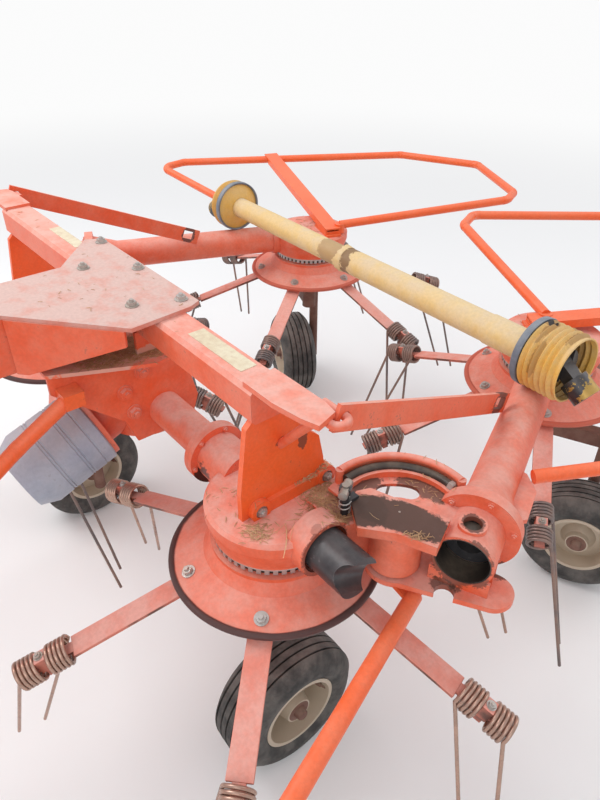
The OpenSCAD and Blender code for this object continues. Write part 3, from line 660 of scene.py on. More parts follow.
class Tree:
    """A geometry node tree with named inputs, ending in realized geometry."""

    def __init__(self, name: str) -> None:
        """Starts an empty tree with its geometry sockets."""
        self.tree = bpy.data.node_groups.new(name, "GeometryNodeTree")
        self.tree.interface.new_socket("Geometry", in_out="INPUT", socket_type="NodeSocketGeometry")
        self.tree.interface.new_socket("Geometry", in_out="OUTPUT", socket_type="NodeSocketGeometry")
        self.given = self.tree.nodes.new("NodeGroupInput")
        self.result = self.tree.nodes.new("NodeGroupOutput")

    def input(self, name: str, kind: str, value: object = None) -> Socket:
        """Adds a named input.

        Args:
            name: The input's name.
            kind: The socket type's last word, such as Float.
            value: Its default, where it has one.

        Returns:
            The socket inside the tree.
        """
        item = self.tree.interface.new_socket(name, in_out="INPUT", socket_type="NodeSocket" + kind)
        if value is not None:
            item.default_value = value
        return self.given.outputs[name]

    def add(self, kind: str, links: Optional[dict] = None, take: object = 0, **settings: object) -> Socket:
        """Places a node, sets its properties and fills its inputs.

        Args:
            kind: The node's type name.
            links: Input name or number to a socket or a value.
            take: The name or number of the output that is wanted.
            settings: Properties of the node.

        Returns:
            That output.
        """
        node = self.tree.nodes.new(kind)
        for name, value in settings.items():
            setattr(node, name, value)
        for name, value in (links or {}).items():
            if isinstance(value, Socket):
                self.tree.links.new(value, node.inputs[name])
            else:
                node.inputs[name].default_value = value
        return node.outputs[take]

    def join(self, *parts: Socket) -> Socket:
        """Joins geometries into one.

        Args:
            parts: The geometries.

        Returns:
            All of them.
        """
        node = self.tree.nodes.new("GeometryNodeJoinGeometry")
        for part in reversed(parts):
            self.tree.links.new(part, node.inputs[0])
        return node.outputs[0]

    def painted(self, geometry: Socket, material: Socket) -> Socket:
        """Gives a geometry its material."""
        return self.add("GeometryNodeSetMaterial", {"Geometry": geometry, "Material": material})

    def swept(self, radius: Socket, around: int) -> Socket:
        """Sweeps a smooth round rod along the edges that go in.

        Args:
            radius: The rod's radius.
            around: Steps round it.

        Returns:
            The rod.
        """
        line = self.add("GeometryNodeMeshToCurve", {0: self.given.outputs[0]})
        circle = self.add("GeometryNodeCurvePrimitiveCircle", {"Resolution": around, "Radius": radius})
        rod = self.add("GeometryNodeCurveToMesh",
                       {"Curve": line, "Profile Curve": circle, "Fill Caps": True})
        return self.add("GeometryNodeSetShadeSmooth", {"Geometry": rod})

    def scattered(self, copy: Socket, axis: str) -> Socket:
        """Sets a copy on each point that goes in, turned and sized as the point says.

        Args:
            copy: What is copied.
            axis: Its axis that follows the point's facing.

        Returns:
            The copies.
        """
        facing = self.add("GeometryNodeInputNamedAttribute", {"Name": "facing"}, data_type="FLOAT_VECTOR")
        size = self.add("GeometryNodeInputNamedAttribute", {"Name": "size"}, data_type="FLOAT")
        turn = self.add("FunctionNodeAlignRotationToVector", {"Vector": facing}, axis=axis)
        points = self.add("GeometryNodeMeshToPoints", {"Mesh": self.given.outputs[0]})
        return self.add("GeometryNodeInstanceOnPoints",
                        {"Points": points, "Instance": copy, "Rotation": turn, "Scale": size})

    def finish(self, geometry: Socket, material: Optional[Socket] = None) -> None:
        """Realizes the geometry, gives it a material and sends it out.

        Args:
            geometry: What the tree made.
            material: The material for all of it, or None where its parts have theirs.
        """
        last = self.add("GeometryNodeRealizeInstances", {0: geometry})
        if material is not None:
            last = self.painted(last, material)
        self.tree.links.new(last, self.result.inputs[0])

    def apply(self, source: bpy.types.Mesh, **values: object) -> bpy.types.Mesh:
        """Runs the tree on a mesh.

        Args:
            source: The mesh that goes in.
            values: Inputs by name, with _ for a space.

        Returns:
            The plain mesh that comes out.
        """
        carrier = new_object("carrier", source)
        modifier = carrier.modifiers.new("tree", "NODES")
        modifier.node_group = self.tree
        named = {i.name: i.identifier for i in self.tree.interface.items_tree if i.in_out == "INPUT"}
        for name, value in values.items():
            modifier[named[name.replace("_", " ")]] = value
        graph = bpy.context.evaluated_depsgraph_get()
        mesh = bpy.data.meshes.new_from_object(carrier.evaluated_get(graph), depsgraph=graph)
        carrier.modifiers.clear()
        bpy.data.objects.remove(carrier)
        return mesh


def points_mesh(spots: Sequence[Spot]) -> bpy.types.Mesh:
    """Makes loose points that each know where they face and how big their piece is.

    Args:
        spots: Place, facing and size of each.

    Returns:
        The mesh.
    """
    mesh = bpy.data.meshes.new("points")
    mesh.from_pydata([tuple(place) for place, _facing, _size in spots], [], [])
    facing = mesh.attributes.new("facing", "FLOAT_VECTOR", "POINT")
    facing.data.foreach_set("vector", [c for _place, vector, _size in spots for c in vector])
    mesh.attributes.new("size", "FLOAT", "POINT").data.foreach_set("value", [spot[2] for spot in spots])
    return mesh


# The machine's own measures


@dataclass
class Machine:
    """Places on the machine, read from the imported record."""

    joints: dict[str, dict]
    origin_y: float
    fold: float

    @classmethod
    def read(cls, frame: dict) -> "Machine":
        """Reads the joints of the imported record.


        Returns:
            The machine's places.
        """
        joints = {j["name"]: j for j in frame["record"]["behaviour"]["joints"]}
        fold = math.radians(joints["arm_left_fold"]["range_deg"][1])
        return cls(joints, joints["rotor_inner_left_spin"]["pos_m"][1], fold)

    def at(self, x: float, y: float, z: float) -> Vector:
        """A point given from the middle of the frame tubes, in metres."""
        return Vector((x, y + self.origin_y, z))

    def joint(self, name: str) -> tuple[Vector, Vector]:
        """A joint's place and axis."""
        joint = self.joints[name]
        return Vector(joint["pos_m"]), Vector(joint["axis"]).normalized()

    def rotor(self, station: Station, side: Side) -> Vector:
        """The middle of a rotor at its rim's height."""
        return self.joint(f"rotor_{station.value}_{side.word}_spin")[0]

    def arm_point(self, side: Side, x: float, y: float, z: float) -> Vector:
        """A point of an arm, given at work on the left, where it lies once the arm is swung back.

        Args:
            side: The arm's side.
            x: Its place across the machine at work.
            y: Its place along the machine at work.
            z: Its height.

        Returns:
            The point.
        """
        pivot = self.joint("arm_left_fold")[0]
        pivot.z = 0
        point = Matrix.Rotation(self.fold, 3, "Z") @ (self.at(x, y, z) - pivot) + pivot
        return Vector((side.value * point.x, point.y, point.z))

    def arm_vector(self, side: Side, x: float, y: float, z: float) -> Vector:
        """A direction of an arm, turned as arm_point turns places."""
        v = Matrix.Rotation(self.fold, 3, "Z") @ Vector((x, y, z))
        return Vector((side.value * v.x, v.y, v.z))


@dataclass
class Gauge:
    """Heights and lengths that the solids and the small pieces share, in metres."""

    tube_z: float = 0.925
    lid_z: float = 0.955
    beam_z: float = 1.282
    plate_top: float = 1.292
    inner_x: float = 0.625
    mouth_x: float = 0.852
    pivot: tuple[float, float] = (0.864, 0.147)
    ring_r: float = 0.138


# Sub-assemblies


@dataclass
class TineRotor:
    """The six sprung arms of one rotor."""

    station: Station
    side: Side
    phase: float
    trail: float
    arms: int = 6
    root_r: float = 0.095
    knee_r: float = 0.18
    slope: float = 18.5
    bar_w: float = 0.055
    bar_t: float = 0.010
    bar_top: float = 0.006
    bar_past: float = 0.006
    bar_bevel: float = 0.0012
    coil_out: float = 0.590
    wire: float = 0.0095
    coil_d: float = 0.072
    turns: int = 5
    coil_gap: float = 0.024
    tip_drop: float = 0.525
    tip_out: float = 0.1
    tip_trail: float = 0.130
    inner_lift: float = 0.012
    clamp_top: float = 0.030
    clamp_past: float = 0.001
    clamp_half: tuple[float, float] = (0.015, 0.012)
    narrow_half: tuple[float, float] = (0.014, 0.004)
    narrow_from: float = 0.008
    nut_half: tuple[float, float] = (0.009, 0.010)
    nut_low: float = -0.036
    clamp_bolt: float = 0.0085
    saucer_bolt: float = 0.0125
    saucer_bolt_at: tuple[float, float] = (0.213, 0.0196)
    saucer_lean: float = 0.365
    steps_a_turn: int = 20

    @property
    def coil_length(self) -> float:
        """Length of a coil along its axis."""
        return self.turns * self.wire

    @property
    def bar_reach(self) -> float:
        """Length from the knee to the end of the narrow bar."""
        level = self.coil_out - self.knee_r
        return level / math.cos(math.radians(self.slope)) + self.coil_length / 2 + self.bar_past

    @property
    def coils(self) -> tuple[float, float]:
        """Middles of the inner and outer coil, measured along the bar from the knee."""
        outer = self.bar_reach - self.bar_past - self.coil_length / 2
        return outer - self.coil_length - self.coil_gap, outer

    @property
    def bar_frame(self) -> Matrix:
        """The frame at the knee, with X along the sloping bar and Z up from its middle."""
        return Matrix.Translation(self.sloped(0, 0, 0)) @ Matrix.Rotation(math.radians(self.slope), 4, "Y")

    def sloped(self, along: float, across: float, above: float) -> Vector:
        """Places a point that is given on the sloping bar.

        Args:
            along: How far it lies from the knee along the bar.
            across: How far it lies to the bar's side.
            above: How far it lies above the bar's middle.

        Returns:
            The point.
        """
        a = math.radians(self.slope)
        up = above - self.bar_t / 2
        x = self.knee_r + along * math.cos(a) + up * math.sin(a)
        return Vector((x, across, self.bar_top - along * math.sin(a) + up * math.cos(a)))

    def wire_path(self) -> list[Vector]:
        """The middle line of one double tine.

        Returns:
            Its points from tip to tip.
        """
        radius = (self.coil_d - self.wire) / 2
        count = int((self.turns - 0.25) * self.steps_a_turn)
        halves = []
        for middle, inward, lift in ((self.coils[0], -1, self.inner_lift), (self.coils[1], 1, 0.0)):
            start = self.sloped(middle + inward * self.coil_length / 2, self.trail * radius, 0)
            tip = Vector((self.sloped(middle, 0, 0).x + self.tip_out, self.trail * self.tip_trail,
                          lift - self.tip_drop))
            half = [tip.lerp(start, t) for t in (0.0, 0.25, 0.5, 0.75, 0.93)]
            for k in range(count + 1):
                t = 2 * math.pi * k / self.steps_a_turn
                x = middle + inward * (self.coil_length / 2 - self.coil_length * k / count)
                half.append(self.sloped(x, self.trail * radius * math.cos(t), radius * math.sin(t)))
            halves.append(half)
        return halves[0] + halves[1][::-1]

    def bar_object(self) -> bpy.types.Object:
        """One arm's flat bar, narrow end and clamp.

        Returns:
            The object that the tree copies.
        """
        bm = bmesh.new()
        a = math.radians(self.slope)
        top, low = self.bar_top, self.bar_top - self.bar_t
        strip = self.coils[0] - self.coil_length / 2 - self.narrow_from
        end_x, end_z = self.knee_r + strip * math.cos(a), top - strip * math.sin(a)
        profile = [
            (self.root_r, low), (self.knee_r - self.bar_t * math.tan(a / 2), low),
            (end_x - self.bar_t * math.sin(a), end_z - self.bar_t * math.cos(a)), (end_x, end_z),
            (self.knee_r, top), (self.root_r, top),
        ]
        half = self.bar_w / 2
        near, far = ([bm.verts.new((x, y, z)) for x, z in profile] for y in (-half, half))
        bm.faces.new(near)
        bm.faces.new(far[::-1])
        bridge(bm, near, far)
        middle = sum(self.coils) / 2
        half_gap = self.coil_gap / 2 + self.clamp_past
        (narrow_w, narrow_t), (clamp_w, clamp_t) = self.narrow_half, self.clamp_half
        nut_l, nut_w = self.nut_half
        for start, end, half_w, under, over in (
            (strip - narrow_t, self.bar_reach, narrow_w, -narrow_t, narrow_t),
            (middle - half_gap, middle + half_gap, clamp_w, -clamp_t, self.clamp_top),
            (middle - nut_l, middle + nut_l, nut_w, self.nut_low, -clamp_t),
        ):
            add_box(bm, self.bar_frame, (start, -half_w, under), (end, half_w, over))
        return new_object("tine_bar", mesh_from("tine_bar", bm, self.bar_bevel))

    @staticmethod
    def tree() -> Tree:
        """Builds the tree that sweeps the wire and sets the arms round the rotor.

        Returns:
            The tree.
        """
        made = Tree("tine_star")
        bar = made.input("Bar", "Object")
        radius = made.input("Wire Radius", "Float", 0.0047)
        count = made.input("Arms", "Int", 6)
        phase = made.input("Phase", "Float", 0.0)
        centre = made.input("Centre", "Vector")
        wires = made.painted(made.swept(radius, 8), made.input("Wire Material", "Material"))
        plain = made.add("GeometryNodeObjectInfo", {"Object": bar}, "Geometry")
        bars = made.painted(plain, made.input("Bar Material", "Material"))
        points = made.add("GeometryNodeMeshLine", {"Count": count, "Offset": (0, 0, 0)})
        step = made.add("ShaderNodeMath", {0: 2 * math.pi, 1: count}, operation="DIVIDE")
        index = made.add("GeometryNodeInputIndex")
        turn = made.add("ShaderNodeMath", {0: index, 1: step}, operation="MULTIPLY")
        angle = made.add("ShaderNodeMath", {0: turn, 1: phase}, operation="ADD")
        star = made.add("GeometryNodeInstanceOnPoints", {
            "Points": points, "Instance": made.join(wires, bars),
            "Rotation": made.add("ShaderNodeCombineXYZ", {"Z": angle}),
        })
        made.finish(made.add("GeometryNodeTransform", {"Geometry": star, "Translation": centre}))
        return made

    def bolts(self, machine: Machine) -> list[Spot]:
        """The bolts on the arms' clamps, and those over their roots on the saucer.

        Args:
            machine: The machine's places.

        Returns:
            The bolts.
        """
        centre = machine.rotor(self.station, self.side)
        middle = sum(self.coils) / 2
        seat = self.sloped(middle, 0, self.clamp_top)
        up = self.sloped(middle, 0, self.clamp_top + 1) - seat
        root = Vector((self.saucer_bolt_at[0], 0, self.saucer_bolt_at[1]))
        lean = Vector((math.sin(self.saucer_lean), 0, math.cos(self.saucer_lean)))
        start, step = math.radians(self.phase), 2 * math.pi / self.arms
        turns = [Matrix.Rotation(start + step * k, 3, "Z") for k in range(self.arms)]
        return [
            (centre + turn @ place, turn @ facing, size)
            for place, facing, size in ((seat, up, self.clamp_bolt), (root, lean, self.saucer_bolt))
            for turn in turns
        ]

    def build(self, machine: Machine, tree: Tree) -> None:
        """Makes the arms and puts them in the place of their solids.

        Args:
            machine: The machine's places.
            tree: The tree that repeats an arm.
        """
        wire_finish = COPPERY if self.station is Station.INNER and self.side is Side.LEFT else SPRING_STEEL
        label = f"{self.station.value}_{self.side.word}"
        bar = self.bar_object()
        mesh = tree.apply(
            line_mesh(self.wire_path()), Bar=bar, Wire_Radius=self.wire / 2, Arms=self.arms,
            Phase=math.radians(self.phase), Centre=tuple(machine.rotor(self.station, self.side)),
            Wire_Material=wire_finish.material(), Bar_Material=BAR_PAINT.material(),
        )
        bpy.data.objects.remove(bar)
        piece = new_piece(f"sprung_arms_{label}", mesh, f"rotor_{label}")
        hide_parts(f"tines_{label}")


@dataclass
class RoadWheel:
    """One small ribbed wheel."""

    station: Station
    side: Side
    radius: float = 0.203
    half_width: float = 0.0825
    bead_r: float = 0.1165
    groove_pitch: float = 0.024
    groove_depth: float = 0.008
    groove_half: tuple[float, float] = (0.0030, 0.0020)
    crown_fall: float = 0.0018
    sidewall: Outline = (
        (0.0, 0.012), (0.006, 0.006), (0.014, 0.004), (0.018, 0.0005), (0.032, 0.0), (0.048, 0.002),
        (0.060, 0.008), (0.068, 0.014),
    )
    shoulder: Outline = ((0.010, 0.022), (0.004, 0.027))
    cap: Outline = (
        (0.0, 0.086), (0.013, 0.086), (0.016, 0.083), (0.019, 0.066), (0.034, 0.0652), (0.034, 0.0640),
        (0.0, 0.0640),
    )
    valve: Outline = (
        (0.0, 0.062), (0.004, 0.061), (0.0045, 0.048), (0.0075, 0.046), (0.0075, -0.012), (0.0, -0.012),
    )
    valve_r: float = 0.086
    valve_lean: float = 0.3
    steps: int = 96

    def tyre_profile(self) -> Outline:
        """The tyre's closed outline, its heights along the axle.

        Returns:
            The outline.
        """
        half, top, deep = self.half_width, self.radius, self.groove_depth
        edge, bottom = self.groove_half
        side = [(self.bead_r + out, half - back) for out, back in self.sidewall]
        side += [(top - drop, half - back) for drop, back in self.shoulder]
        tread = []
        for i in (2, 1, 0, -1, -2):
            crown = top - self.crown_fall * abs(i) ** 1.5 / 2
            for drop, off in ((0, edge), (deep, bottom), (deep, -bottom), (0, -edge)):
                tread.append((crown - drop, i * self.groove_pitch + off))
        return side + tread + [(r, -z) for r, z in side[::-1]] + [side[0]]

    def build(self, machine: Machine) -> None:
        """Makes the tyre and the rim's small pieces.

        Args:
            machine: The machine's places.
        """
        label = f"{self.station.value}_{self.side.word}"
        body = f"wheel_{label}"
        frame = axis_frame(*machine.joint(f"wheel_{label}_spin"))
        tread = [(self.tyre_profile(), frame, self.steps)]
        tyre = turned_piece(f"ribbed_tyre_{label}", tread, body, RUBBER, 40)
        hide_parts(f"tyre_{label}")
        lean = Matrix.Translation((self.valve_r, 0, 0)) @ Matrix.Rotation(self.valve_lean, 4, "Y")
        turned_piece(f"hub_caps_{label}", (
            (self.cap, frame @ Matrix.Rotation(math.pi, 4, "X"), 24), (self.cap, frame, 24),
            (self.valve, frame @ lean, 12),
        ), body, RUSTY, 40)


@dataclass
class BoltCircle:
    """Evenly spaced bolts round an axis."""

    body: str
    centre: Vector
    axis: Vector
    radius: float
    size: float
    start: float
    count: int = 6

    def bolts(self) -> list[Spot]:
        """Works out the bolts.

        Returns:
            The bolts.
        """
        frame = axis_frame(self.centre, self.axis).to_3x3()
        angles = [math.radians(self.start) + 2 * math.pi * k / self.count for k in range(self.count)]
        return [(self.centre + frame @ Vector((math.cos(a), math.sin(a), 0)) * self.radius,
                 self.axis.normalized(), self.size) for a in angles]


@dataclass
class Fasteners:
    """All hexagon bolts, one joined piece for each body and finish."""

    gauge: Gauge
    loose: dict[tuple[str, bool], list[Spot]] = field(default_factory=dict)
    plate_bolts: Sequence[tuple[float, float]] = (
        (-0.18, 0.029), (0.04, 0.023), (0.26, 0.016), (-0.047, -0.084), (0.217, -0.087),
    )
    upright_bolts: Sequence[float] = (-0.065, 0.120)
    upright_x: float = 0.660
    cheek_bolts: Sequence[tuple[float, float]] = ((-0.052, 1.063), (-0.106, 1.018), (-0.089, 0.950))
    cheek_x: float = 0.135
    frame_flange_in: float = 0.229
    arm_flange_out: float = 0.100
    lone_bolt_out: float = 0.085
    pin_top: float = 0.9839

    def add(self, body: str, place: Vector, facing: Vector, size: float, painted: bool = False) -> None:
        """Notes one bolt."""
        self.loose.setdefault((body, painted), []).append((place, facing, size))

    def circle(self, ring: BoltCircle) -> None:
        """Notes a circle of painted bolts."""
        self.loose.setdefault((ring.body, True), []).extend(ring.bolts())

    @staticmethod
    def tree() -> Tree:
        """Builds the tree that puts a washer, a hexagon head and a stud's end on each point.

        Returns:
            The tree.
        """
        made = Tree("hex_bolts")
        washer = made.add("GeometryNodeMeshCylinder", {"Vertices": 20, "Radius": 1.32, "Depth": 0.22})
        parts = [(washer, 0.08)]
        for corners, top, bottom, depth, z in ((6, 0.94, 1.0, 0.72, 0.15), (12, 0.42, 0.5, 0.5, 0.80)):
            parts.append((made.add("GeometryNodeMeshCone", {
                "Vertices": corners, "Radius Top": top, "Radius Bottom": bottom, "Depth": depth,
            }), z))
        bolt = made.join(*(made.add("GeometryNodeTransform", {"Geometry": part, "Translation": (0, 0, z)})
                           for part, z in parts))
        made.finish(made.scattered(bolt, "Z"), made.input("Steel", "Material"))
        return made

    def collect(self, machine: Machine) -> None:
        """Notes every bolt of the machine that isn't on a rotor.

        Args:
            machine: The machine's places.
        """
        g = self.gauge
        up = Vector((0, 0, 1))
        for x, y in self.plate_bolts:
            self.add("frame", machine.at(x, y, g.plate_top), up, 0.012)
        for side in Side:
            sign, arm = side.value, f"arm_{side.word}"
            out = Vector((sign, 0, 0))
            for y in self.upright_bolts:
                self.add("frame", machine.at(sign * self.upright_x, y, g.lid_z + 0.016), out, 0.0125)
            flange = machine.at(sign * (g.inner_x - self.frame_flange_in), 0, g.tube_z)
            self.circle(BoltCircle("frame", flange, out, 0.071, 0.0065, 10))
            for y, z in self.cheek_bolts:
                self.add("frame", machine.at(sign * self.cheek_x, y, z), out, 0.0165, True)
            inward = machine.arm_vector(side, -1, 0, 0)
            flange = machine.arm_point(side, g.mouth_x + self.arm_flange_out, 0, g.tube_z)
            self.circle(BoltCircle(arm, flange, inward, 0.084, 0.007, 15))
            lone = machine.arm_point(side, g.mouth_x + self.lone_bolt_out, 0, g.tube_z)
            self.add(arm, lone, inward, 0.009)
            pin = machine.arm_point(side, *g.pivot, 0.0)
            self.add("frame", Vector((pin.x, pin.y, self.pin_top)), up, 0.006)

    def build(self) -> None:
        """Makes the pieces."""
        tree = self.tree()
        for (body, painted), bolts in sorted(self.loose.items()):
            finish = PINK_PAINT if painted else CLEAN_STEEL
            mesh = tree.apply(points_mesh(bolts), Steel=finish.material())
            label = f"painted_bolts_{body}" if painted else f"bolts_{body}"
            new_piece(label, mesh, body)


@dataclass
class Gearboxes:
    """The bare bearing rings under the gearbox drums, with their notched edges."""

    gauge: Gauge
    teeth: int = 48
    low: float = 0.0755
    high: float = 0.0945
    lip: float = 0.006
    inward: float = 0.002
    tooth: tuple[float, float, float] = (0.006, 0.0105, 0.013)

    def ring(self, station: Station, side: Side, machine: Machine) -> None:
        """Makes one bearing ring and the near-black band behind its teeth.

        Args:
            station: Inner or outer rotor.
            side: The machine's side.
            machine: The machine's places.
        """
        low, high, r = self.low, self.high, self.gauge.ring_r
        lip = high - self.lip
        frame = Matrix.Translation(machine.rotor(station, side))
        bm = bmesh.new()
        inside = r - self.inward
        lathe(bm, [(inside, high), (r + 0.005, high), (r + 0.006, high - 0.002), (r + 0.006, lip + 0.001),
                   (r + 0.005, lip), (inside, lip), (inside, high)], frame, 96)
        for k in range(self.teeth):
            turn = frame @ Matrix.Rotation(2 * math.pi * k / self.teeth, 4, "Z")
            place = turn @ Matrix.Translation((r + 0.0020, 0, (low + high) / 2 - 0.002))
            bmesh.ops.create_cube(bm, size=1.0, matrix=place @ Matrix.Diagonal((*self.tooth, 1)))
        body = "frame" if station is Station.INNER else f"arm_{side.word}"
        label = f"{station.value}_{side.word}"
        mesh = mesh_from("bearing_ring", bm)
        new_piece(f"bearing_ring_{label}", mesh, body, CLEAN_STEEL, 35)
        behind = [(band(inside, r + 0.0015, low + 0.002, lip), frame, 64)]
        turned_piece(f"ring_grease_{label}", behind, body, NEAR_BLACK)


def sweep_tree() -> Tree:
    """Builds the tree that sweeps a round rod along a line of edges.

    Returns:
        The tree.
    """
    made = Tree("swept_line")
    made.finish(made.swept(made.input("Radius", "Float", 0.01), 14), made.input("Finish", "Material"))
    return made


@dataclass
class InputGuard:
    """The ribbed plastic guard round the input stub."""

    start: float = 0.173
    radius: float = 0.112
    wall: float = 0.005
    length: float = 0.190
    cone: float = 0.045
    narrowing: float = 0.022
    hole: float = 0.060
    floor: float = 0.006
    tilt: float = 20.0
    rounding: float = 0.004
    groove_depth: float = 0.0022
    groove_step: float = 0.002
    steps: int = 72
    grooves: Sequence[float] = (0.030, 0.068, 0.076, 0.130, 0.138)

    def profile(self) -> Outline:
        """Works out the guard's closed outline.

        Returns:
            The outline.
        """
        r, end = self.radius, self.length + self.cone
        outside = [(self.hole, 0.0), (r - self.rounding, 0.0), (r, self.rounding)]
        deep = self.groove_depth
        for at in self.grooves:
            outside += [(r - drop, at + k * self.groove_step) for k, drop in enumerate((0, deep, deep, 0))]
        outside += [(r, self.length), (r - self.narrowing, end)]
        inner = r - self.wall
        inside = [(inner - self.narrowing, end), (inner, self.length), (inner, self.floor)]
        return outside + inside + [(self.hole, self.floor), (self.hole, 0.0)]

    def build(self, machine: Machine, gauge: Gauge) -> None:
        """Makes the guard.

        Args:
            machine: The machine's places.
            gauge: The shared measures.
        """
        tilt = math.radians(self.tilt)
        axis = Vector((0, -math.cos(tilt), -math.sin(tilt)))
        frame = axis_frame(machine.at(0, 0, gauge.tube_z) + axis * self.start, axis)
        parts = [(self.profile(), frame, self.steps)]
        guard = turned_piece("input_stub_guard", parts, "frame", GREY_PLASTIC, 35)
        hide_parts("input_guard")


@dataclass
class DriveShaft:
    """The bells at the ends of the drive shaft, with their collars and the torn end of the outer tube."""

    bell_at: float = 0.7796
    bell_r: float = 0.095
    bell_len: float = 0.105
    shaft_r: float = 0.042
    height: float = 1.0743
    back: float = 0.830
    heading: float = -2.0
    wall_from: float = 0.036
    rib_half: tuple[float, float] = (0.0045, 0.0035)
    steps: int = 72
    tear_at: float = -0.058
    rust: Sequence[tuple[float, float]] = (
        (2.6, 0.0445), (3.4, 0.0620), (4.3, 0.0795), (2.2, 0.0970), (1.6, 0.1145), (3.0, 0.132),
    )

    def frame(self, machine: Machine) -> Matrix:
        """The frame at the shaft's middle, its Z along the shaft."""
        place = Matrix.Translation(machine.at(0, self.back, self.height))
        turn = Matrix.Rotation(math.radians(self.heading), 4, "Z")
        return place @ turn @ Matrix.Rotation(math.pi / 2, 4, "Y")

    def ribbed(self, length: float, lip: float, ribs: int, hole: float) -> Outline:
        """Works out a bell's closed outline, ribbed outside and inside.

        Args:
            length: The length of its ribbed wall.
            lip: How far it goes on past the ribs.
            ribs: How many ribs it has.
            hole: The radius of its hole.

        Returns:
            The outline.
        """
        r, wall, end = self.bell_r, self.wall_from, self.wall_from + length + lip
        outer_half, inner_half = self.rib_half
        outside = [(hole, 0.0), (hole + 0.006, 0.0), (r - 0.020, 0.019), (r - 0.004, 0.024),
                   (r - 0.003, wall)]
        inside = []
        count = ribs * 6
        for k in range(count + 1):
            wave = math.cos(2 * math.pi * ribs * k / count)
            outside.append((r - outer_half - outer_half * wave, wall + length * k / count))
            inside.append((r - 0.0100 - inner_half * wave, wall + length * k / count))
        outside += [(r - 0.005, end - 0.002), (r - 0.007, end), (r - 0.010, end - 0.001)]
        return outside + inside[::-1] + [(r - 0.028, 0.028), (hole, 0.008), (hole, 0.0)]

    def build(self, machine: Machine) -> None:
        """Makes the bells, the collars, the sleeve and the torn tube end.

        Args:
            machine: The machine's places.
        """
        body, slot, steps = "drive_shaft", "shaft_plastic", self.steps
        r, frame = self.bell_r, self.frame(machine)
        inner = self.bell_at - self.bell_len / 2
        near = frame @ Matrix.Translation((0, 0, inner - 0.030))
        far = frame @ Matrix.Translation((0, 0, 0.022 - inner)) @ Matrix.Rotation(math.pi, 4, "X")
        stains = [(near @ Vector((r * math.cos(a), r * math.sin(a), z)), (0.012, 0.060, 0.060),
                   (0.30, 0.15, 0.05), 0.6, -0.035, 0.5) for a, z in self.rust]
        # A near-black spot painted on the near bell: the painted shade inside a hole
        hole = near @ Vector((-0.093, 0.012, 0.052))
        stains.append((hole, (0.017, 0.014, 0.014), (0.02, 0.012, 0.008), 1.0, 0, 0.3))
        bells = turned_piece("ribbed_bells", (
            (self.ribbed(self.bell_len, 0.014, 6, self.shaft_r + 0.0003), near, steps),
            (self.ribbed(0.034, 0.010, 3, self.shaft_r - 0.0037), far, steps),
        ), body, stained(YELLOW_PLASTIC, "ribbed_bell", stains), 40)
        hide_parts("shaft_bells")
        hoop = [(r - 0.006, 0.021), (r - 0.001, 0.019), (r + 0.001, 0.021), (r + 0.002, 0.036),
                (r + 0.001, 0.039), (r - 0.006, 0.039), (r - 0.006, 0.021)]
        cone = [(0.047, 0.0045), (0.049, 0.0015), (r - 0.020, 0.0155), (r - 0.006, 0.0185),
                (r - 0.006, 0.021), (0.047, 0.0065), (0.047, 0.0045)]
        turned_piece("shaft_collars", (
            (hoop, near, steps), (cone, near, steps), ([(x, z - 0.004) for x, z in hoop], far, steps),
        ), body, BLUE_PLASTIC, 40)
        inside, outside = self.shaft_r - 0.001, self.shaft_r + 0.0026
        start, end = inner - 0.155, inner - 0.037
        sleeve = [(inside, start), (outside - 0.0004, start), (outside, start + 0.002), (outside, end),
                  (inside, end), (inside, start)]
        turned_piece("shaft_sleeve", [(sleeve, frame, 48)], body, PALE_TUBE, 40)
        new_piece("torn_tube_end", self.torn_end(frame), body, PALE_TUBE, 50)

    def torn_end(self, frame: Matrix) -> bpy.types.Mesh:
        """Makes the ragged, flared end of the outer guard tube.

        Args:
            frame: The frame at the shaft's middle.

        Returns:
            Its mesh.
        """
        chance = random.Random(5)
        bm = bmesh.new()
        r, steps = self.shaft_r, 48
        rings: list[list[bmesh.types.BMVert]] = [[], [], [], []]
        for k in range(steps):
            a = 2 * math.pi * k / steps
            end = self.tear_at - 0.010 * chance.random() - 0.008 * math.sin(3 * a)
            flare = 0.003 * chance.random()
            places = ((r - 0.001, -0.038), (r + 0.0012, -0.036), (r + 0.0022 + flare, end),
                      (r - 0.0006 + flare, end))
            for ring, (radius, z) in zip(rings, places):
                ring.append(bm.verts.new(frame @ Vector((radius * math.cos(a), radius * math.sin(a), z))))
        for low, high in zip(rings, rings[1:] + rings[:1]):
            bridge(bm, low, high)
        return mesh_from("torn_tube_end", bm)


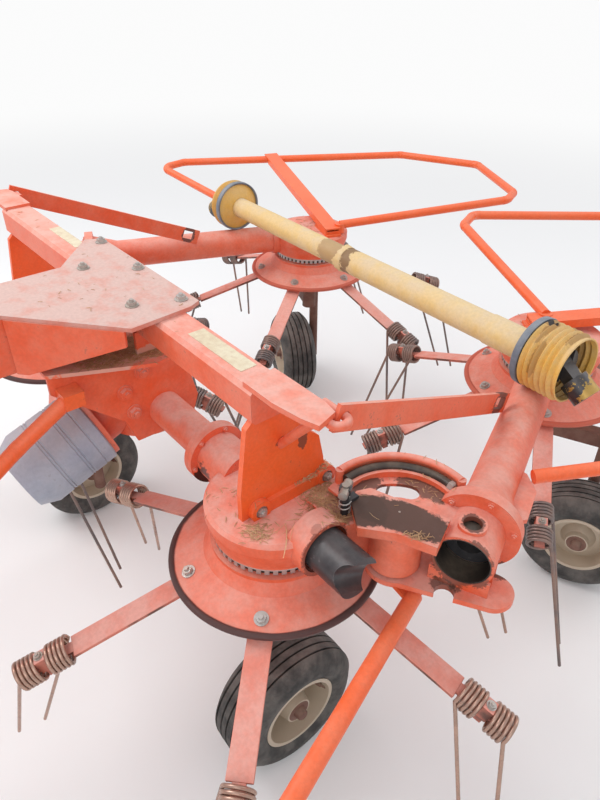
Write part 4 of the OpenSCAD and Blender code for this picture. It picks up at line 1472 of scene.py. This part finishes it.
@dataclass
class ArmTrim:
    """The hose in an arm's pan, the lining of its mouth, and the spring and grip of its latch pin."""

    side: Side
    gauge: Gauge
    hose_r: float = 0.0105
    hose_z: float = 0.992
    hose_arc: tuple[float, float] = (-30, 74)
    hose_steps: int = 24
    groove_r: float = 0.147
    pin_out: float = 0.147
    pin_y: float = 0.076
    spring_r: float = 0.0125
    spring_z: float = 0.972
    spring_wire: float = 0.0018
    spring_rise: float = 0.0011
    spring_points: int = 30
    spring_steps: int = 12
    grip_z: float = 1.030

    def hose(self, machine: Machine) -> list[Vector]:
        """The hose's middle line.

        Args:
            machine: The machine's places.

        Returns:
            Its points.
        """
        (x, y), (start, end) = self.gauge.pivot, self.hose_arc
        count, r, z = self.hose_steps, self.groove_r, self.hose_z
        angles = [math.radians(start + (end - start) * k / count) for k in range(count + 1)]
        return [machine.arm_point(self.side, x + r * math.cos(a), y + r * math.sin(a), z) for a in angles]

    def build(self, machine: Machine, tree: Tree) -> None:
        """Makes the trim.

        Args:
            machine: The machine's places.
            tree: The tree that sweeps a tube along a line.
        """
        g, word, sign = self.gauge, self.side.word, self.side.value
        arm = f"arm_{word}"
        path = self.hose(machine)
        hose = tree.apply(line_mesh(path), Radius=self.hose_r, Finish=NEAR_BLACK.material())
        new_piece(f"pan_hose_{word}", hose, arm)
        nut = [(0.0, -0.004), (0.0125, -0.004), (0.0125, 0.006), (0.009, 0.009), (0.0, 0.009)]
        nut_frame = axis_frame(path[0], path[0] - path[1])
        turned_piece(f"hose_end_{word}", [(nut, nut_frame, 6)], arm, CLEAN_STEEL)
        # A near-black lining inside the mouth: grease, with painted shade of the recess
        lining = [(0.0572, 0.001), (0.0596, 0.001), (0.0596, 0.0598), (0.0545, 0.0598), (0.0545, 0.0590),
                  (0.0572, 0.0590), (0.0572, 0.001)]
        mouth = axis_frame(machine.arm_point(self.side, g.mouth_x, 0, g.tube_z),
                           machine.arm_vector(self.side, 1, 0, 0))
        turned_piece(f"mouth_grease_{word}", [(lining, mouth, 64)], arm, NEAR_BLACK, 40)
        pin = machine.at(sign * (g.inner_x + self.pin_out), self.pin_y, 0.0)
        coil = []
        for k in range(self.spring_points):
            turn = Matrix.Rotation(2 * math.pi * k / self.spring_steps, 3, "Z")
            coil.append(pin + turn @ Vector((self.spring_r, 0, self.spring_z + self.spring_rise * k)))
        spring = tree.apply(line_mesh(coil), Radius=self.spring_wire, Finish=CLEAN_STEEL.material())
        new_piece(f"pin_spring_{word}", spring, "frame")
        cap = [(0.0, 1.036), (0.007, 1.036), (0.0085, 1.038), (0.0085, 1.044), (0.0, 1.046)]
        rod = [(0.0, -0.026), (0.0105, -0.024), (0.0105, 0.024), (0.0, 0.026)]
        rod_frame = axis_frame(pin + Vector((0, 0, self.grip_z)), Vector((sign * 0.5, -0.8, 0)))
        turned_piece(f"pin_grip_{word}", ((cap, Matrix.Translation(pin), 20), (rod, rod_frame, 20)), "frame",
                     BARE_STEEL, 40)


@dataclass
class BlankPlates:
    """The worn blank plates on the cross beam."""

    gauge: Gauge
    spots: Sequence[tuple[float, ...]] = ((0.395, 0.590, -0.050, -0.010), (-0.393, -0.211, -0.034, -0.002))
    sunk: float = 0.0003
    proud: float = 0.0009

    def build(self, machine: Machine) -> None:
        """Makes the plates.

        Args:
            machine: The machine's places.
        """
        z = self.gauge.beam_z
        bm = bmesh.new()
        for left, right, front, back in self.spots:
            low, high = machine.at(left, front, z - self.sunk), machine.at(right, back, z + self.proud)
            add_box(bm, Matrix.Identity(4), low, high)
        new_piece("blank_plates", mesh_from("blank_plates", bm), "frame", CREAM)


@dataclass
class Pile:
    """One drift of chaff on a body, kept off the round that an arm sweeps."""

    body: str
    nodes: tuple[str, ...]
    centre: Vector
    spread: float
    count: int
    size: tuple[float, float] = (0.08, 0.24)
    swept: Optional[Vector] = None
    swept_r: float = 0.105


@dataclass
class Chaff:
    """Short broken stalks lying in drifts, and a few long ones."""

    frame: dict
    seed: int = 11
    length: float = 0.08
    bend: tuple[float, float] = (3.0, -2.0)
    fall_from: float = 0.05
    fall: float = 0.12
    steepest: float = 0.45
    tumble: float = 0.25
    flatten: float = 0.85
    float_up: tuple[float, float] = (0.0005, 0.003)

    @staticmethod
    def tree() -> Tree:
        """Builds the tree that lays a stalk on each point.

        Returns:
            The tree.
        """
        made = Tree("loose_stalks")
        plain = made.add("GeometryNodeObjectInfo", {"Object": made.input("Stalk", "Object")}, "Geometry")
        made.finish(made.scattered(plain, "X"), made.input("Dry", "Material"))
        return made

    def stalk(self, width: float) -> bpy.types.Object:
        """Makes one bent, three-sided stalk.

        Args:
            width: Half its thickness, in metres.

        Returns:
            The stalk.
        """
        bm = bmesh.new()
        rings = []
        for k in range(5):
            x = self.length * (k / 4 - 0.5)
            around = width if 0 < k < 4 else width * 0.5
            y, z = self.bend[0] * x * x, self.bend[1] * x * x
            rings.append([bm.verts.new((x, around * math.cos(a) + y, around * math.sin(a) + z))
                          for a in (0.5, 2.6, 4.7)])
        for low, high in zip(rings, rings[1:]):
            bridge(bm, low, high)
        bm.faces.new(rings[0])
        bm.faces.new(rings[-1][::-1])
        return new_object("stalk", mesh_from("stalk", bm))

    def ground(self, nodes: Sequence[str]) -> BVHTree:
        """Makes a search tree over some nodes' faces.

        Args:
            nodes: Their names.

        Returns:
            The search tree.
        """
        bm = bmesh.new()
        for node in nodes:
            bm.from_mesh(self.frame["nodes"][node].data)
        found = BVHTree.FromBMesh(bm)
        bm.free()
        return found

    def drop(self, pile: Pile, chance: random.Random) -> list[Spot]:
        """Lets a pile's stalks fall on its nodes.

        Args:
            pile: The pile.
            chance: The source of chance.

        Returns:
            Place, facing and size of each stalk.
        """
        ground = self.ground(pile.nodes)
        found = []
        for _ in range(pile.count):
            x, y = chance.gauss(0, pile.spread), chance.gauss(0, pile.spread)
            start = pile.centre + Vector((x, y, self.fall_from))
            place, normal, _face, _far = ground.ray_cast(start, Vector((0, 0, -1)), self.fall)
            if place is None or normal.z < self.steepest:
                continue
            if pile.swept and (place.xy - pile.swept.xy).length < pile.swept_r:
                continue
            a = chance.uniform(0, 2 * math.pi)
            along = Vector((math.cos(a), math.sin(a), chance.gauss(0, self.tumble)))
            flat = along - normal * along.dot(normal) * self.flatten
            size = chance.uniform(*pile.size)
            found.append((place + normal * chance.uniform(*self.float_up), flat.normalized(), size))
        return found

    def build(self, name: str, piles: Sequence[Pile], finish: Finish, width: float) -> None:
        """Lays piles of one kind of stalk.

        Args:
            name: The pieces' name.
            piles: The piles.
            finish: The stalks' finish.
            width: Half a stalk's thickness.
        """
        chance = random.Random(self.seed)
        laid: dict[str, list[Spot]] = {}
        for pile in piles:
            laid.setdefault(pile.body, []).extend(self.drop(pile, chance))
        stalk = self.stalk(width)
        tree = self.tree()
        for body, stalks in laid.items():
            if stalks:
                mesh = tree.apply(points_mesh(stalks), Stalk=stalk, Dry=finish.material())
                new_piece(f"{name}_{body}", mesh, body)
        bpy.data.objects.remove(stalk)


def lay_hay(frame: dict, machine: Machine, gauge: Gauge) -> None:
    """Lays the brown chaff and the few long stalks.

    Args:
        machine: The machine's places.
        gauge: The shared measures.
    """
    chaff = Chaff(frame)
    box, plates = ("inner_gearboxes", "uprights"), ("centre_plates",)
    piles, stalks = [], []
    for side in Side:
        share = 1.0 if side is Side.LEFT else 0.5
        sign, arm = side.value, f"arm_{side.word}"
        pivot = machine.arm_point(side, *gauge.pivot, 1.0)
        for x, y, z, spread, count in (
            (0.677, 0.088, 0.97, 0.026, 420), (0.715, 0.060, 0.97, 0.020, 220),
            (0.693, -0.097, 0.96, 0.016, 140), (0.788, 0.065, 0.96, 0.022, 300),
            (0.560, 0.060, 0.96, 0.040, 80), (0.560, -0.060, 0.96, 0.040, 30),
        ):
            place = machine.at(sign * x, y, z)
            piles.append(Pile("frame", box, place, spread, int(count * share), swept=pivot))
        for x, y, spread, count in (
            (0.142, -0.075, 0.030, 700), (0.170, -0.020, 0.028, 500), (0.155, -0.160, 0.035, 500),
        ):
            piles.append(Pile("frame", plates, machine.at(sign * x, y, 1.142), spread, int(count * share)))
        for x, y, spread, count in ((-0.060, -0.060, 0.014, 90), (0.110, -0.010, 0.030, 60)):
            place = pivot + machine.arm_vector(side, x, y, 0)
            piles.append(Pile(arm, (arm,), place, spread, int(count * share)))
        lid = machine.rotor(Station.OUTER, side) + Vector((0, 0, 0.19))
        piles.append(Pile(arm, (f"arm_gearbox_{side.word}",), lid, 0.07, 130))
        stalks += [
            Pile("frame", box, machine.at(sign * 0.700, 0.030, 0.985), 0.06, 12, (0.5, 1.2)),
            Pile("frame", plates, machine.at(sign * 0.150, -0.09, 1.142), 0.055, 150, (0.15, 0.6)),
            Pile(arm, (arm,), pivot, 0.06, 3, (0.3, 0.7)),
        ]
    for name, x, y, z, count in (
        ("cross_beam", 0.30, -0.035, 1.29, 26), ("cross_beam", -0.50, -0.035, 1.29, 26),
        ("top_plate", 0.05, -0.100, 1.30, 50),
    ):
        piles.append(Pile("frame", (name,), machine.at(x, y, z), 0.12, count, (0.06, 0.2)))
    chaff.build("chaff", piles, CHAFF, 0.0045)
    chaff.build("stalks", stalks, STRAW, 0.0010)


@dataclass
class Stage:
    """The floor, the lights and the camera."""

    lens: float = 30.1
    sensor: float = 36.0
    nearest: float = 0.02
    height: float = 1.983
    place_x: float = 1.516
    place_y: float = -0.665
    heading: float = 50.40
    pitch: float = 34.75
    roll: float = 0.30
    floor_half: float = 45.0
    floor_fades: tuple[float, float] = (2.5, 9.0)
    background: Colour = (0.97, 0.97, 0.97)
    ground: Colour = (0.82, 0.82, 0.81)
    sky: Colour = (0.95, 0.96, 1.0)
    sky_strength: float = 0.85
    aim: tuple[float, float, float] = (0.2, 0.2, 0.8)
    lamps: Sequence[tuple[str, tuple, float, float]] = (
        ("key", (-2.5, -1.5, 4.6), 3.0, 130), ("fill", (3.2, -3.5, 3.4), 3.0, 45),
        ("rim", (1.5, 4.5, 3.6), 3.0, 40),
    )

    def camera(self, machine: Machine) -> None:
        """Puts the camera where the photograph was taken from.

        Args:
            machine: The machine's places.
        """
        data = bpy.data.cameras.new("camera")
        data.lens = self.lens
        data.sensor_width = self.sensor
        data.clip_start = self.nearest
        camera = new_object("camera", data)
        heading, pitch = math.radians(self.heading), math.radians(self.pitch)
        level = math.cos(pitch)
        look = Vector((-math.sin(heading) * level, math.cos(heading) * level, -math.sin(pitch)))
        turn = look.to_track_quat("-Z", "Y").to_matrix().to_4x4()
        roll = Matrix.Rotation(math.radians(self.roll), 4, "Z")
        place = Matrix.Translation(machine.at(self.place_x, self.place_y, self.height))
        camera.matrix_world = place @ turn @ roll
        bpy.context.scene.camera = camera

    def floor(self) -> None:
        """Lays a plain pale floor that meets the pale background far off."""
        half = self.floor_half
        mesh = bpy.data.meshes.new("floor")
        corners = [(-half, -half, 0), (half, -half, 0), (half, half, 0), (-half, half, 0)]
        mesh.from_pydata(corners, [], [(0, 1, 2, 3)])
        floor = new_object("floor", mesh)
        made = bpy.data.materials.new("pale_floor")
        s = Shader.of(made)
        matt = s.add("ShaderNodeBsdfPrincipled", Base_Color=self.ground, Roughness=0.9).outputs[0]
        plain = s.add("ShaderNodeEmission", Color=self.background, Strength=1.0).outputs[0]
        far = s.ramp(s.vector("LENGTH", s.place), *self.floor_fades)
        seen = s.add("ShaderNodeLightPath").outputs["Is Camera Ray"]
        s.add("ShaderNodeOutputMaterial", Surface=s.mix_shaders(s.times(far, seen), matt, plain))
        mesh.materials.append(made)

    def lights(self) -> None:
        """Sets a pale world and soft lamps."""
        world = bpy.data.worlds.new("soft_world")
        bpy.context.scene.world = world
        s = Shader.of(world)
        soft = s.add("ShaderNodeBackground", Color=self.sky, Strength=self.sky_strength).outputs[0]
        plain = s.add("ShaderNodeBackground", Color=self.background, Strength=1.0).outputs[0]
        seen = s.add("ShaderNodeLightPath").outputs["Is Camera Ray"]
        s.add("ShaderNodeOutputWorld", Surface=s.mix_shaders(seen, soft, plain))
        for name, place, size, power in self.lamps:
            data = bpy.data.lights.new(name, "AREA")
            data.shape = "DISK"
            data.size = size
            data.energy = power
            lamp = new_object(name, data)
            lamp.location = place
            lamp.rotation_euler = (Vector(self.aim) - Vector(place)).to_track_quat("-Z", "Y").to_euler()


def greasy_arm(machine: Machine, side: Side) -> Finish:
    """An arm's paint with its worn lug, dark pan and greasy mouth.

    Args:
        machine: The machine's places.
        side: The arm's side.

    Returns:
        The finish.
    """
    fold = side.value * machine.fold
    brown = (0.085, 0.048, 0.036)
    rows = (
        (0.852, 0.140, 0.998, (0.052, 0.135, 0.022), brown, 0.97, 0.28),
        (0.835, 0.215, 0.998, (0.060, 0.060, 0.022), brown, 0.97, 0.3),
        (0.985, 0.120, 0.968, (0.045, 0.110, 0.012), (0.10, 0.06, 0.045), 0.85, 0.4),
        (0.930, 0.260, 0.968, (0.075, 0.060, 0.012), (0.09, 0.055, 0.042), 0.85, 0.4),
        (0.850, 0.000, 0.925, (0.014, 0.075, 0.075), (0.10, 0.045, 0.03), 0.75, 0.6),
        (0.896, 0.0, 0.993, (0.028, 0.028, 0.020), (0.07, 0.04, 0.03), 0.8, 0.5),
        (0.955, -0.070, 0.845, (0.045, 0.030, 0.020), Stain.colour, 0.8, 0.4),
        (0.845, 0.030, 0.830, (0.030, 0.030, 0.030), Stain.colour, 0.7, 0.4),
        (0.960, 0.060, 0.940, (0.020, 0.030, 0.030), (0.16, 0.06, 0.04), 0.6, 0.4),
    )
    return stained(PINK_PAINT, f"greasy_arm_{side.word}", (
        (machine.arm_point(side, x, y, z), radii, colour, strength, fold, ragged)
        for x, y, z, radii, colour, strength, ragged in rows
    ), settled=0.75)


def gearbox_stains(machine: Machine) -> list[tuple]:
    """The grease round the joints of the inner gearboxes.

    Args:
        machine: The machine's places.

    Returns:
        The stains of both sides, as stained takes them.
    """
    rows = (
        (0.383, -0.050, 0.885, (0.035, 0.034, 0.040), (0.022, 0.018, 0.017), 0.95),
        (0.420, -0.045, 0.925, (0.045, 0.020, 0.030), (0.03, 0.022, 0.02), 0.85),
        (0.790, -0.020, 0.990, (0.012, 0.014, 0.020), (0.24, 0.10, 0.07), 0.45),
        (0.800, 0.000, 0.925, (0.010, 0.075, 0.075), (0.16, 0.05, 0.035), 0.7),
        (0.760, 0.075, 0.961, (0.045, 0.040, 0.010), (0.22, 0.12, 0.08), 0.7),
        (0.864, 0.147, 0.970, (0.060, 0.060, 0.030), (0.12, 0.06, 0.045), 0.7),
    )
    return [(machine.at(side.value * x, y, z), *rest) for side in Side for x, y, z, *rest in rows]


def dress_solids(frame: dict, machine: Machine) -> None:
    """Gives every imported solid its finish.

    Args:
        machine: The machine's places.
    """
    finishes = dict(NODE_FINISHES)
    for side in Side:
        for name, finish in SIDE_FINISHES.items():
            finishes[f"{name}_{side.word}"] = finish
        finishes[f"arm_{side.word}"] = greasy_arm(machine, side)
        for station in Station:
            label = f"{station.value}_{side.word}"
            finishes[f"rotor_{label}"] = replace(
                PINK_PAINT, name=f"saucer_{label}", settled=0.7, rim_from=0.2365,
                rim_centre=tuple(machine.rotor(station, side).xy),
                rim_colour=(0.020, 0.018, 0.020) if station is Station.INNER else (0.50, 0.10, 0.055),
            )
            finishes[f"tyre_{label}"] = RUBBER
            finishes[f"wheel_{label}"] = RIM_PAINT
            finishes[f"tines_{label}"] = SPRING_STEEL
    both = (-1, 1)
    finishes["inner_gearboxes"] = stained(PINK_PAINT, "greasy_gearbox", gearbox_stains(machine))
    finishes["shaft_tubes"] = stained(PALE_TUBE, "guard_tubes", (
        (machine.at(-0.02, 0.833, 1.074), (0.030, 0.07, 0.07), (0.20, 0.11, 0.05), 0.9, 0, 0.5),
        (machine.at(-0.10, 0.835, 1.074), (0.075, 0.09, 0.09), (0.34, 0.20, 0.09), 0.7, 0, 0.4),
    ))
    finishes["shaft_yokes"] = stained(DARK_STEEL, "dirty_yokes", (
        (machine.at(x, y, 1.04), (0.07, 0.06, 0.05), (0.55, 0.34, 0.07), 0.8, 0.4, 1.2)
        for x, y in ((0.93, 0.80), (-0.93, 0.86))
    ))
    finishes["uprights"] = stained(BRIGHT_PAINT, "scraped_upright", (
        (machine.at(sign * 0.651, y, z), radii, (0.10, 0.05, 0.035), 0.8, 0, 0.6) for sign in both
        for y, z, radii in ((0.008, 1.118, (0.012, 0.030, 0.014)), (0.06, 1.10, (0.012, 0.012, 0.03)))
    ))
    low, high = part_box("lock_bars")
    finishes["lock_bars"] = stained(PAINT, "lock_bar_paint", (
        ((sign * (high[0] - 0.064), high[1] - 0.053, low[2] + 0.044), (0.03, 0.036, 0.036),
         (0.06, 0.035, 0.03), 0.85, 0, 0.5) for sign in both
    ), wear=0.7, settled=1.0)
    # Pale patches on the centre plates: dust, lightened as painted light where the top plate shades them
    finishes["centre_plates"] = stained(PAINT, "dirty_plates", (
        (machine.at(sign * x, y, 1.142), (0.07, 0.12, 0.02), (0.60, 0.36, 0.28), 0.75, 0, 0.5)
        for sign in both for x, y in ((0.150, -0.06), (0.160, -0.17))
    ))
    for name, node in frame["nodes"].items():
        node.data.materials.clear()
        node.data.materials.append(finishes[name].material())
        LOG.info("%s is finished in %s", name, finishes[name].name)


def main() -> None:
    """Builds the dressed machine and the scene round it."""
    logging.basicConfig(level=logging.INFO, format="%(name)s: %(message)s")
    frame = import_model()
    bpy.context.scene.view_settings.view_transform = "Standard"
    machine = Machine.read(frame)
    gauge = Gauge()
    dress_solids(frame, machine)
    star = TineRotor.tree()
    bolts = Fasteners(gauge)
    bolts.collect(machine)
    for station, side, phase, trail in (
        (Station.INNER, Side.LEFT, 14, -1), (Station.INNER, Side.RIGHT, 33, 1),
        (Station.OUTER, Side.LEFT, 6, 1), (Station.OUTER, Side.RIGHT, 3, -1),
    ):
        rotor = TineRotor(station, side, phase, trail)
        rotor.build(machine, star)
        for bolt in rotor.bolts(machine):
            bolts.add(f"rotor_{station.value}_{side.word}", *bolt)
        RoadWheel(station, side).build(machine)
        Gearboxes(gauge).ring(station, side, machine)
    bolts.build()
    InputGuard().build(machine, gauge)
    DriveShaft().build(machine)
    sweep = sweep_tree()
    for side in Side:
        ArmTrim(side, gauge).build(machine, sweep)
    BlankPlates(gauge).build(machine)
    lay_hay(frame, machine, gauge)
    stage = Stage()
    stage.camera(machine)
    stage.floor()
    stage.lights()


if __name__ == "__main__":
    main()
